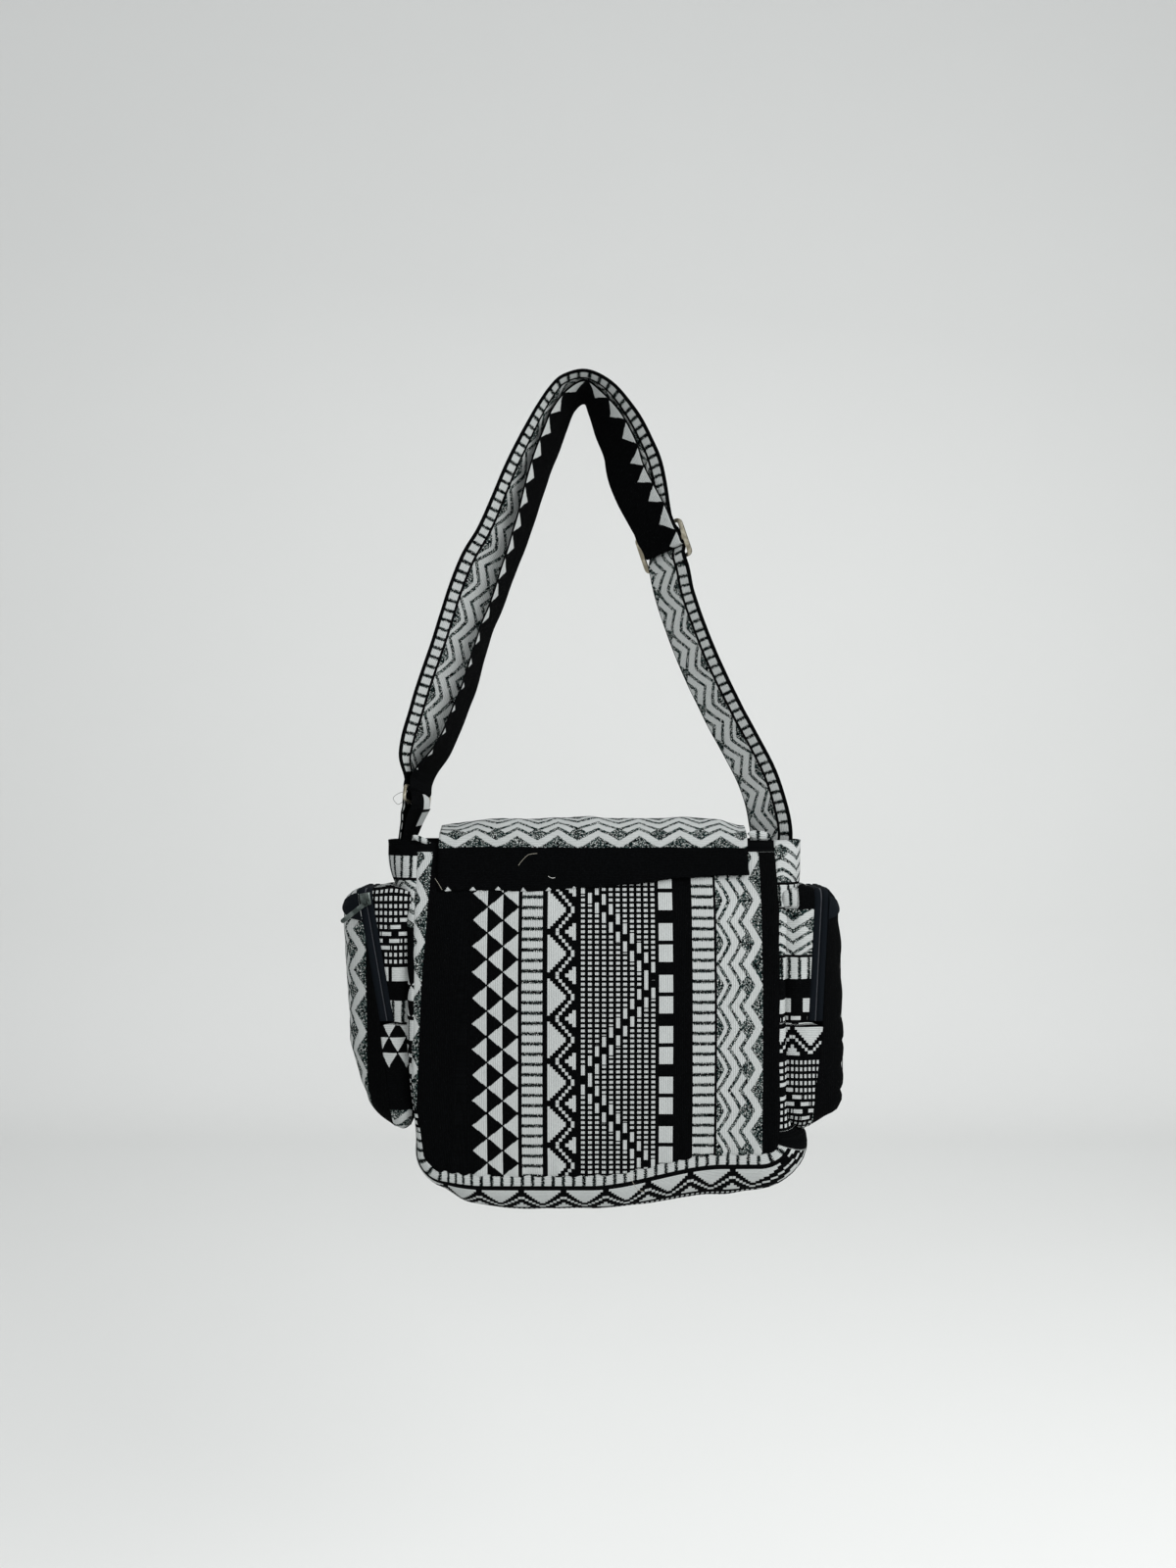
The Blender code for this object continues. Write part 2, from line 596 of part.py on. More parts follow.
def add_slider(prefix, frame, pull_turn):
    """Slider over the teeth with a bridge on its back, and the pull whose eye the bridge goes through."""
    origin, across, along, out = frame
    teeth_top = TEETH_PROUD + TEETH_THICK / 2
    lip = TEETH_WIDTH / 2 + SLIDER_CLEARANCE
    lip_foot = ZIP_TAPE_THICK / 2 + SLIDER_CLEARANCE
    roof = teeth_top + SLIDER_CLEARANCE
    half = SLIDER_WIDTH / 2
    top = roof + SLIDER_PLATE
    chamfer = SLIDER_PLATE * 0.4
    section = [(-half, lip_foot), (-lip, lip_foot), (-lip, roof), (lip, roof), (lip, lip_foot),
               (half, lip_foot), (half, top - chamfer), (half - chamfer, top),
               (chamfer - half, top), (-half, top - chamfer)]
    body = as_mesh(flat_outline(f"{prefix}_zip_slider", [section], SLIDER_LENGTH,
                                frame_matrix(origin, across, out, across.cross(out)), None))

    span = BRIDGE_LENGTH / 2
    hole = span - BRIDGE_LEG
    hole_low = top + BRIDGE_SILL
    hole_high = hole_low + PULL_THICK + 2 * PULL_ROOM
    crown = hole_high + BRIDGE_BAR
    foot = top - SLIDER_PLATE / 2
    arch = [(-span, foot), (span, foot), (span, crown - BRIDGE_CHAMFER), (span - BRIDGE_CHAMFER, crown),
            (BRIDGE_CHAMFER - span, crown), (-span, crown - BRIDGE_CHAMFER)]
    window = [(-hole, hole_low), (hole, hole_low), (hole, hole_high), (-hole, hole_high)]
    bridge = as_mesh(flat_outline(f"{prefix}_bridge", [arch, window], BRIDGE_WIDTH,
                                  frame_matrix(origin, along, out, along.cross(out)), None, tools))
    bridge.hide_render = True
    bridge.display_type = "WIRE"
    joined = body.modifiers.new("Bridge", "BOOLEAN")
    joined.operation = "UNION"
    joined.object = bridge
    finish_object(body, METAL)

    lower_leg = origin - along * (span - BRIDGE_LEG / 2) + out * (hole_low + hole_high) / 2
    add_pull(prefix, lower_leg, frame, pull_turn)


def add_pull(prefix, pivot, frame, turn):
    """Flat pull with a round eye about the bridge's lower leg, turned to -X from hanging along the zip."""
    _, across, along, out = frame
    leftward = across if across.x < 0 else -across
    aim = leftward * sin(turn) - along * cos(turn)
    eye = sqrt(BRIDGE_WIDTH ** 2 + BRIDGE_LEG ** 2) / 2 + EYE_CLEARANCE
    rim = eye + EYE_WALL
    half = PULL_WIDTH / 2
    neck = sqrt(rim ** 2 - half ** 2)
    shoulder = asin(half / rim)
    tip = PULL_LENGTH - half
    outer = [(tip + half * cos(k * pi / 8), half * sin(k * pi / 8)) for k in range(-4, 5)]
    outer += [(neck, half)]
    outer += [(rim * cos(angle), rim * sin(angle)) for angle in steps_between(shoulder, 2 * pi - shoulder, 14)[1:-1]]
    outer += [(neck, -half)]
    hole = [(eye * cos(k * pi / 6), eye * sin(k * pi / 6)) for k in range(12)]
    flat_outline(f"{prefix}_zip_pull", [outer, hole], PULL_THICK,
                 frame_matrix(pivot, aim, out.cross(aim), out), METAL)


# Strap, its ring and its adjuster

def lie_vector(lie, turn):
    """Direction of the strap's outer edge, from its lie in the picture plane and its turn to -Y."""
    flat = cos(radians(turn))
    return Vector((flat * cos(radians(lie)), -sin(radians(turn)), flat * sin(radians(lie))))


def bar_frame(lie, turn, aim):
    """Width, up and outward axes of a bar that the strap passes round."""
    width = lie_vector(lie, turn)
    up = (aim - width * aim.dot(width)).normalized()
    return width, up, width.cross(up)


def run_stations(run):
    return [(Vector(item[:3]), lie_vector(item[3], item[4])) for item in run]


def smooth_stations(stations, per_span):
    places = catmull([place for place, _ in stations], per_span)
    widths = catmull([width for _, width in stations], per_span)
    return list(zip(places, widths))


def ribbon(name, stations, width, thickness, look):
    """A flat strap laid along stations, each a place and the direction of its outer edge."""
    last = len(stations) - 1
    edges = []
    for k, (place, side) in enumerate(stations):
        tangent = stations[min(k + 1, last)][0] - stations[max(k - 1, 0)][0]
        tangent.normalize()
        edges.append((side - tangent * side.dot(tangent)).normalized())

    def point(share, k):
        return stations[k][0] + edges[k] * width * share

    return cloth(name, [-0.5, 0.0, 0.5], list(range(len(stations))), point, thickness, look)


def add_strap():
    half = STRAP_THICK / 2
    ring_width, ring_up, ring_out = bar_frame(*RING_LIE, Vector((0.0, 0.0, 1.0)))
    turn = RING_WIRE / 2 + STRAP_CLEARANCE + half

    def at_ring(out, up):
        return RING_CENTRE + ring_out * out + ring_up * up, ring_width

    round_ring = [at_ring(turn * cos(pi * k / 8), -turn * sin(pi * k / 8)) for k in range(9)]

    slide_width, slide_up, slide_out = bar_frame(*SLIDE_LIE, SLIDE_AIM)
    # Seen from -Y the near side of the adjuster is against slide_out
    near = slide_out if slide_out.y < 0 else -slide_out
    layer = SLIDE_THICK / 2 + STRAP_CLEARANCE + half
    outer_layer = layer + SLIDE_TILT_ROOM
    pitch = SLIDE_BAR + SLIDE_SLOT
    pile = STRAP_THICK + STRAP_CLEARANCE

    def at_slide(depth, up):
        return SLIDE_CENTRE - near * depth + slide_up * up, slide_width

    far_side = layer + pile
    bar_half = SLIDE_BAR / 2
    half_pass = [(far_side, 0.0)]
    half_pass += [(far_side * cos(a), bar_half + far_side * sin(a)) for a in (0.42, 1.0)]
    half_pass += [(0.0, pitch / 2 + 0.0017), (-outer_layer * 0.72, pitch - 0.0032),
                  (-outer_layer, pitch + 0.002), (-outer_layer, pitch + 0.006)]
    through = [at_slide(depth, -up) for depth, up in reversed(half_pass[1:])]
    through += [at_slide(depth, up) for depth, up in half_pass]

    in_front = outer_layer + pile
    ending = [at_slide(-in_front - 0.0012, pitch + 0.006), at_slide(-in_front - 0.0006, pitch - 0.002),
              at_slide(-in_front + 0.0006, pitch * 0.5), at_slide(-layer - 0.0006, bar_half + 0.003),
              at_slide(-layer, bar_half)]
    ending += [at_slide(-layer * cos(pi * k / 8), -bar_half - layer * sin(pi * k / 8)) for k in range(9)]
    ending += [at_slide(layer * 0.96, bar_half * 0.6), at_slide(layer * 0.92, bar_half + 0.001)]

    stations = smooth_stations(run_stations(ANCHOR_RUN) + [through[0]], 3)[:-1]
    stations += smooth_stations(through, 2)[:-1]
    down_left = run_stations(OUTER_RUN)
    stations += smooth_stations([through[-1]] + down_left + [at_ring(turn, 0.0085), round_ring[0]], 3)[:-1]
    stations += round_ring[:-1]
    up_right = run_stations(INNER_RUN)
    stations += smooth_stations([round_ring[-1], at_ring(-turn, 0.008)] + up_right + [ending[0]], 3)[:-1]
    stations += smooth_stations(ending, 2)
    ribbon("strap", stations, STRAP_WIDTH, STRAP_THICK, STRAP)

    add_ring(ring_width, ring_up, ring_out)
    add_tab(ring_width, ring_up, ring_out)
    add_adjuster(slide_width, slide_up, near, pitch)


def add_ring(width, up, out):
    """Rectangular wire ring; its upper bar lies on its object's origin."""
    length = STRAP_WIDTH + 2 * RING_SIDE_ROOM + RING_WIRE
    height = RING_INNER_HEIGHT + RING_WIRE
    curve = bpy.data.curves.new("strap_ring", "CURVE")
    curve.dimensions = "3D"
    curve.bevel_depth = RING_WIRE / 2
    curve.bevel_resolution = 2
    outline = rounded_rectangle(length, height, RING_CORNER)
    spline = curve.splines.new("POLY")
    spline.points.add(len(outline) - 1)
    for point, (x, y) in zip(spline.points, outline):
        point.co = (x, y - height / 2, 0, 1)
    spline.use_cyclic_u = True
    obj = bpy.data.objects.new("strap_ring", curve)
    bag.objects.link(obj)
    obj.matrix_world = frame_matrix(RING_CENTRE, width, up, width.cross(up))
    finish_object(obj, BRASS)


def add_tab(width, up, out):
    """Cloth tab from inside the left end of the mouth, up round the ring's lower bar and back."""
    half = TAB_THICK / 2
    bar = RING_CENTRE - up * (RING_INNER_HEIGHT + RING_WIRE)
    tall = RING_WIRE / 2 + SEAM_GAP + half
    wide = RING_WIRE / 2 + RING_SWING_ROOM + half
    middle_y = (back_y(0.0) + FRONT_Y) / 2
    foot_z = MOUTH_Z - TAB_TUCK
    edge_y = middle_y + TAB_WIDTH / 2
    skin = gusset_seat(-1, edge_y, foot_z) - 2 * gusset_reach(-1, edge_y, foot_z)
    sewn = PANEL_LEFT + skin + half + SEAT_ROOM
    pair = TAB_THICK + STRAP_CLEARANCE
    along_mouth = Vector((0.0, -1.0, 0.0))

    def round_bar(angle):
        return bar + out * wide * cos(angle) + up * tall * sin(angle), width

    outward = [(Vector((sewn, middle_y, foot_z)), along_mouth),
               (Vector((sewn + 0.0004, middle_y, MOUTH_Z - 0.002)), along_mouth),
               (lerp(Vector((sewn + 0.001, middle_y, MOUTH_Z)), bar + out * wide, 0.55), (along_mouth + width) / 2),
               (bar + out * wide - up * 0.003, width)]
    back = [(bar - out * wide - up * 0.003, width),
            (lerp(Vector((sewn + pair * 1.4, middle_y, MOUTH_Z)), bar - out * wide, 0.45), (along_mouth + width) / 2),
            (Vector((sewn + pair + 0.0012, middle_y, MOUTH_Z - 0.003)), along_mouth),
            (Vector((sewn + pair, middle_y, foot_z + 0.001)), along_mouth)]
    loop = [round_bar(pi * k / 8) for k in range(9)]
    stations = smooth_stations(outward, 3)[:-1] + smooth_stations([outward[-1]] + loop + [back[0]], 1)[:-1]
    stations += smooth_stations(back, 3)
    ribbon("ring_tab", stations, TAB_WIDTH, TAB_THICK, STRAP)


def add_adjuster(width, up, near, pitch):
    """Plate with two slots and a middle bar that the strap's end is sewn round."""
    slot_width = STRAP_WIDTH + 2 * RING_SIDE_ROOM
    outer = rounded_rectangle(slot_width + 2 * SLIDE_SIDE, 2 * pitch + SLIDE_BAR, 0.0045)
    slot = rounded_rectangle(slot_width, SLIDE_SLOT, 0.0015, 2)
    upper = [(x, y + pitch / 2) for x, y in slot]
    lower = [(x, y - pitch / 2) for x, y in slot]
    flat_outline("strap_slider", [outer, upper, lower], SLIDE_THICK,
                 frame_matrix(SLIDE_CENTRE, width, up, width.cross(up)), BRASS)


for item in list(bpy.data.objects):
    bpy.data.objects.remove(item)
bag = bpy.data.collections.new("crossbody_bag")
tools = bpy.data.collections.new("cutters")
bpy.context.scene.collection.children.link(bag)
bpy.context.scene.collection.children.link(tools)

JACQUARD = ("jacquard", (0.42, 0.43, 0.43), 0.0, 0.92)
STRAP = ("strap_cloth", (0.30, 0.31, 0.31), 0.0, 0.92)
TAPE = ("zip_tape", (0.025, 0.027, 0.032), 0.0, 0.85)
TEETH = ("zip_coil", (0.03, 0.032, 0.038), 0.0, 0.45)
METAL = ("gunmetal", (0.20, 0.22, 0.21), 1.0, 0.38)
BRASS = ("antique_brass", (0.42, 0.38, 0.28), 1.0, 0.35)

add_body()
add_flap()
add_pocket("left", -1, PANEL_LEFT, LEFT_ZIP_REACH, LEFT_DOME)
add_pocket("right", 1, PANEL_RIGHT, RIGHT_ZIP_REACH, RIGHT_DOME)
left_drop = SLIDER_REST_DROP
add_slider("left", run_frame(-1, PANEL_LEFT, LEFT_ZIP_REACH, -1, left_drop), LEFT_PULL_TURN)
right_drop = ZIP_RUN_END - SLIDER_LENGTH / 2
add_slider("right", run_frame(1, PANEL_RIGHT, RIGHT_ZIP_REACH, 1, right_drop), 0.0)
add_strap()
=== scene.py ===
# Crossbody bag of black and white jacquard cloth, hanging by its doubled strap.
# Metres, +Z up. The origin is under the strap's fold. -Y is the side that the flap is sewn to.

from math import cos, pi, radians, sin, sqrt

import bmesh
import bpy
from bpy.props import FloatProperty, FloatVectorProperty, PointerProperty
from mathutils import Matrix, Vector, noise


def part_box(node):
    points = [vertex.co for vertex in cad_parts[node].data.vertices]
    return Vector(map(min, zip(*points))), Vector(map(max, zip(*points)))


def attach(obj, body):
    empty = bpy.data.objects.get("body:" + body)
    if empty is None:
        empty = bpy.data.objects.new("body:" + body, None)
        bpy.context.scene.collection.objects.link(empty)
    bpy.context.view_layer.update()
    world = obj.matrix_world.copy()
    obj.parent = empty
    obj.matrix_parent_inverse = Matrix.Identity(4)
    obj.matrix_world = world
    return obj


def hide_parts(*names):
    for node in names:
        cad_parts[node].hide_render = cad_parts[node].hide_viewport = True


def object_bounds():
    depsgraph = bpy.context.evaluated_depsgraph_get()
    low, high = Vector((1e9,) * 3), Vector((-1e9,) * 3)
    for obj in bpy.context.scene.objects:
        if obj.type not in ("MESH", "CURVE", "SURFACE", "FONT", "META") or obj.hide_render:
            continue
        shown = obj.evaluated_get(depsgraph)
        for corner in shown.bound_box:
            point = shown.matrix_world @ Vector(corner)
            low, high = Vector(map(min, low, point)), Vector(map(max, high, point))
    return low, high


bl_info = {
    "name": "Jacquard crossbody bag",
    "version": (1, 0, 0),
    "blender": (4, 5, 0),
    "location": "View3D > Sidebar > Bag",
    "description": "Cloth, zips, strap and metal of a hanging crossbody bag",
    "category": "Object",
}

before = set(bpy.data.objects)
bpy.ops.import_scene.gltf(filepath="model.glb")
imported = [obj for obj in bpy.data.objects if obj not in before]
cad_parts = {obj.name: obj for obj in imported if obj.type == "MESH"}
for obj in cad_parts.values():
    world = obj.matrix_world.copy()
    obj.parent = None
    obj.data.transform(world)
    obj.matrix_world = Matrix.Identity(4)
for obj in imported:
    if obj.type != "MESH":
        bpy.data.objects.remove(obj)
CAD_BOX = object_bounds()

# Shape of the body, as its solids have it
PANEL_WIDTH = 0.2974
PANEL_HEIGHT = 0.2715
PANEL_CENTRE_X = 0.015
PANEL_LEFT = PANEL_CENTRE_X - PANEL_WIDTH / 2
PANEL_RIGHT = PANEL_CENTRE_X + PANEL_WIDTH / 2
MOUTH_Z = -0.383
CORNER_RADIUS = 0.016
RIGHT_LIFT = 0.0175
LEFT_LIFT = 0.004
PANEL_BULGE = 0.006
BASE_WRAP = 0.035
FRONT_Y = 0.028
BACK_PROFILE = ((0.0, -0.022), (0.13, -0.036), (0.28, -0.047), (0.6, -0.052), (1.0, -0.048))
GUSSET_BULGE = ((0.0, 0.027), (0.03, 0.024), (0.07, 0.012), (0.20, 0.007), (0.30, 0.0075),
                (0.37, 0.030), (0.50, 0.035), (0.62, 0.041), (0.65, 0.038), (0.675, 0.033),
                (0.69, 0.026), (0.71, 0.0125), (0.76, 0.0095), (0.89, 0.0095), (0.94, 0.019), (1.0, 0.0245))
FLAP_LEFT = -0.115
FLAP_RIGHT = 0.140
FLAP_HEM_Z = -0.4175
FLAP_RISE = 0.0175
FLAP_DROP = 0.200

# Side pockets
POCKET_CENTRE_Y = -0.0115
POCKET_WIDTH = 0.060
POCKET_TOP_Z = -0.4224
POCKET_HEIGHT = 0.1966
POCKET_TOP_RADIUS = 0.010
POCKET_BASE_RADIUS = 0.020
ZIP_RUN_END = 0.107
ZIP_TAPE = 0.004
TEETH_WIDTH = 0.004
LEFT_ZIP_REACH = (0.0405, 0.0220, 0.0105)
RIGHT_ZIP_REACH = (0.0355, 0.0302, 0.0200)
LEFT_DOME = ((0.0, 0.0), (0.004, 0.009), (0.012, 0.0155), (0.024, 0.0190), (0.056, 0.0232),
             (0.097, 0.0280), (0.120, 0.0297), (0.137, 0.0290), (0.153, 0.0266), (0.169, 0.0225),
             (0.185, 0.0160), (0.1966, 0.0))
RIGHT_DOME = ((0.0, 0.0), (0.004, 0.005), (0.012, 0.0100), (0.028, 0.0136), (0.055, 0.0163),
              (0.090, 0.0190), (0.126, 0.0228), (0.150, 0.0256), (0.170, 0.0268), (0.180, 0.0262),
              (0.187, 0.0200), (0.1966, 0.0))

# Strap route, as its solid has it: centre x, y, z, lie of the outer edge and its turn to -Y
STRAP_WIDTH = 0.038
STRAP_THICK = 0.0022
TAB_WIDTH = 0.030
TAB_THICK = 0.0020
ANCHOR_RUN = (
    (0.1615, 0.0035, -0.3960, 12, 22), (0.1635, 0.0020, -0.3734, 20, 28),
    (0.1519, 0.0000, -0.3310, 24, 32), (0.1216, -0.0040, -0.2740, 25, 33),
    (0.0991, -0.0060, -0.2262, 25, 33), (0.0825, -0.0080, -0.1811, 23, 34),
)
OUTER_RUN = (
    (0.0566, -0.0066, -0.0762, 26, 33), (0.0486, -0.0058, -0.0516, 28, 41),
    (0.0362, -0.0048, -0.0272, 35, 50), (0.0228, -0.0042, -0.0063, 55, 66),
    (0.0066, -0.0040, 0.0041, 90, 76), (-0.0099, -0.0040, -0.0002, 120, 73),
    (-0.0192, -0.0040, -0.0114, 140, 67), (-0.0288, -0.0040, -0.0289, 147, 60),
    (-0.0389, -0.0040, -0.0518, 152, 52), (-0.0491, -0.0040, -0.0752, 154, 45),
    (-0.0588, -0.0040, -0.1018, 155, 36), (-0.0695, -0.0040, -0.1282, 154, 27),
    (-0.0827, -0.0040, -0.1524, 150, 16), (-0.0934, -0.0040, -0.1805, 158, 9),
    (-0.1020, -0.0040, -0.2086, 159, 8), (-0.1100, -0.0040, -0.2326, 159, 8),
    (-0.1182, -0.0040, -0.2566, 160, 10), (-0.1260, -0.0030, -0.2814, 162, 17),
    (-0.1332, -0.0006, -0.3004, 161, 34), (-0.1388, 0.0028, -0.3170, 155, 56),
)
INNER_RUN = (
    (-0.1274, 0.0008, -0.3230, 152, 69), (-0.1161, -0.0010, -0.3086, 155, 72),
    (-0.1070, -0.0010, -0.2904, 156, 75), (-0.0987, -0.0010, -0.2697, 157, 76),
    (-0.0920, -0.0010, -0.2531, 157, 77), (-0.0854, -0.0010, -0.2299, 157, 78),
    (-0.0779, -0.0010, -0.2050, 157, 79), (-0.0705, -0.0010, -0.1876, 157, 79),
    (-0.0645, -0.0010, -0.1702, 157, 78), (-0.0578, -0.0010, -0.1511, 157, 76),
    (-0.0500, 0.0000, -0.1285, 156, 73), (-0.0433, 0.0000, -0.1069, 156, 71),
    (-0.0375, 0.0010, -0.0851, 155, 68), (-0.0306, 0.0030, -0.0630, 153, 66),
    (-0.0229, 0.0040, -0.0436, 150, 65), (-0.0159, 0.0060, -0.0247, 145, 68),
    (-0.0067, 0.0070, -0.0094, 125, 74), (0.0050, 0.0080, -0.0016, 90, 76),
    (0.0141, 0.0060, -0.0114, 55, 66), (0.0249, 0.0026, -0.0297, 35, 50),
    (0.0354, 0.0006, -0.0524, 28, 41), (0.0424, -0.0014, -0.0780, 26, 33),
)
RING_CENTRE = Vector((-0.1361, 0.0, -0.3410))
RING_LIE = (150, 66)
RING_WIRE = 0.0030
RING_INNER_HEIGHT = 0.0095
RING_SWING_ROOM = 0.0020
SLIDE_CENTRE = Vector((0.0717, -0.0090, -0.1360))
SLIDE_LIE = (20, 34)
SLIDE_AIM = Vector((-0.27, 0.0, 0.96))
SLIDE_THICK = 0.0024
SLIDE_BAR = 0.0030
SLIDE_SLOT = 0.0120
SLIDE_TILT_ROOM = 0.0009
STRAP_CLEARANCE = 0.0004
TAB_BUNCH = 0.0075
TAB_TURN = 0.55
RING_SPREAD_REACH = 0.020

# Bands of the cloth, in millimetres: edges across from the black band's first edge, and the period
# and start of each figure along it
REPEAT = 268.8
TRIANGLES = (33.9, 71.7)
TRIANGLE_COLUMN = 12.6
TRIANGLE_PERIOD = 20.66
TRIANGLE_START = 467.1
FIRST_LADDER = (74.5, 91.1)
SECOND_LADDER = (212.1, 229.6)
LADDER_PERIOD = 8.33
LADDER_START = 428.6
RUNG_HALF = 1.5
RUNG_CORE_HALF = 0.6
STEPPED = (95.1, 118.1)
STEPPED_PERIOD = 34.4
STEPPED_START = 472.7
DOTS = (121.8, 184.0)
DOT_COLUMN = 5.65
DOT_ROW = 4.14
DOT_START = 438.9
ZIGZAG_HALF = 80.0
ZIGZAG_START = 493.7
ZIGZAG_COLUMNS = 10.5
SQUARES = (184.9, 196.2)
SQUARES_PERIOD = 40.85
SQUARES_START = 464.1
SQUARE_GAP = (1.6, 15.3)
CHEVRONS = (231.8, 268.8)
CHEVRON_PERIOD = 33.8
CHEVRON_START = 464.6
CHEVRON_LINES = ((-20.0, 5.6), (8.8, 11.9), (17.9, 20.9), (26.8, 30.4), (36.8, 60.0))

# Where the pieces are cut from the cloth, in metres across its bands and along them
BLACK_ACROSS = 0.0050
BACK_CUT = 0.1195
FRONT_CUT = 0.0700
LEFT_GUSSET_CUT = (-0.1837, 0.4590)
RIGHT_GUSSET_CUT = (0.6487, 0.4590)
BASE_GUSSET_CUT = 0.0816
MOUTH_FOLD_CUT = (0.0840, 0.0040)
FLAP_CUT = (0.0318, 0.5321)
LEFT_UPPER_CUT = (0.2290, 1, 0.4442, 1.05)
LEFT_LOWER_CUT = (0.0718, -1, 0.4579, 1.5)
RIGHT_UPPER_CUT = (0.1774, -1, 0.4688, 1.07)
RIGHT_LOWER_CUT = (0.0905, 1, 0.4420, 1.2)
COLLAR_STRETCH = 1.1
LEFT_TAKE = ((0.0, 0.0), (0.25, 0.0035), (0.5, 0.0075), (0.75, 0.0100), (1.0, 0.0150))
STRAP_CUTS = {1: (0.2190, 1, 0.46), -1: (0.0460, -1, 0.46), 0: (BLACK_ACROSS, 0, 0.46)}
TAB_CUTS = {1: (0.2145, -1, 0.43), -1: (0.2145, -1, 0.43), 0: (BLACK_ACROSS, 0, 0.43)}


# Settings that a user would change

class ClothSettings(bpy.types.PropertyGroup):
    white: FloatVectorProperty(name="White yarn", description="Colour of the pale yarn", subtype="COLOR",
                               default=(0.472, 0.493, 0.487), min=0, max=1)
    black: FloatVectorProperty(name="Black yarn", description="Colour of the dark yarn", subtype="COLOR",
                               default=(0.0009, 0.0010, 0.0011), min=0, max=1)
    green: FloatVectorProperty(name="Green yarn", description="Dark yarn in the speckled figures",
                               subtype="COLOR", default=(0.012, 0.026, 0.025), min=0, max=1)
    rib: FloatProperty(name="Rib", description="Width of one rib of the weave, in millimetres",
                       default=1.4, min=0.5, max=4)
    thickness: FloatProperty(name="Thickness", description="Thickness of the cloth", unit="LENGTH",
                             default=0.0017, min=0.0005, max=0.0024)


class ZipSettings(bpy.types.PropertyGroup):
    tape: FloatVectorProperty(name="Tape", description="Colour of the zip's tape", subtype="COLOR",
                              default=(0.0020, 0.0030, 0.0044), min=0, max=1)
    pitch: FloatProperty(name="Coil pitch", description="Distance from tooth to tooth", unit="LENGTH",
                         default=0.0013, min=0.0008, max=0.004)


class MetalSettings(bpy.types.PropertyGroup):
    gunmetal: FloatVectorProperty(name="Gunmetal", description="Plating of the zip's slider and pull",
                                  subtype="COLOR", default=(0.050, 0.062, 0.058), min=0, max=1)
    brass: FloatVectorProperty(name="Antique brass", description="Ring and adjuster", subtype="COLOR",
                               default=(0.19, 0.17, 0.125), min=0, max=1)


class StageSettings(bpy.types.PropertyGroup):
    wall: FloatVectorProperty(name="Backdrop", description="Colour of floor and backdrop", subtype="COLOR",
                              default=(0.76, 0.765, 0.755), min=0, max=1)
    field: FloatProperty(name="Field of view", description="Upright angle of view", subtype="ANGLE",
                         default=radians(62.3), min=radians(10), max=radians(120))


# Shader maths

class Value:
    """A shader value. Python's operators on it add Math nodes to its board."""

    def __init__(self, board, socket):
        self.board = board
        self.socket = socket

    def math(self, operation, *others):
        node = self.board.node("ShaderNodeMath", {"operation": operation}, dict(enumerate((self, *others))))
        return Value(self.board, node.outputs[0])

    def __add__(self, other):
        return self.math("ADD", other)

    def __sub__(self, other):
        return self.math("SUBTRACT", other)

    def __mul__(self, other):
        return self.math("MULTIPLY", other)

    def __truediv__(self, other):
        return self.math("DIVIDE", other)

    def __rsub__(self, other):
        return self * -1 + other

    __radd__ = __add__
    __rmul__ = __mul__

    def above(self, edge):
        return self.math("GREATER_THAN", edge)

    def below(self, edge):
        return self.math("LESS_THAN", edge)

    def within(self, low, high):
        return self.above(low) * self.below(high)

    def whole(self):
        return self.math("FLOOR")

    def part(self):
        return self.math("FRACT")

    def size(self):
        return self.math("ABSOLUTE")

    def least(self, other):
        return self.math("MINIMUM", other)

    def most(self, other):
        return self.math("MAXIMUM", other)

    def from_repeat(self, period, start):
        """Distance to the nearest of the places that repeat from start."""
        return (((self - start) / period + 0.5).part() - 0.5).size() * period


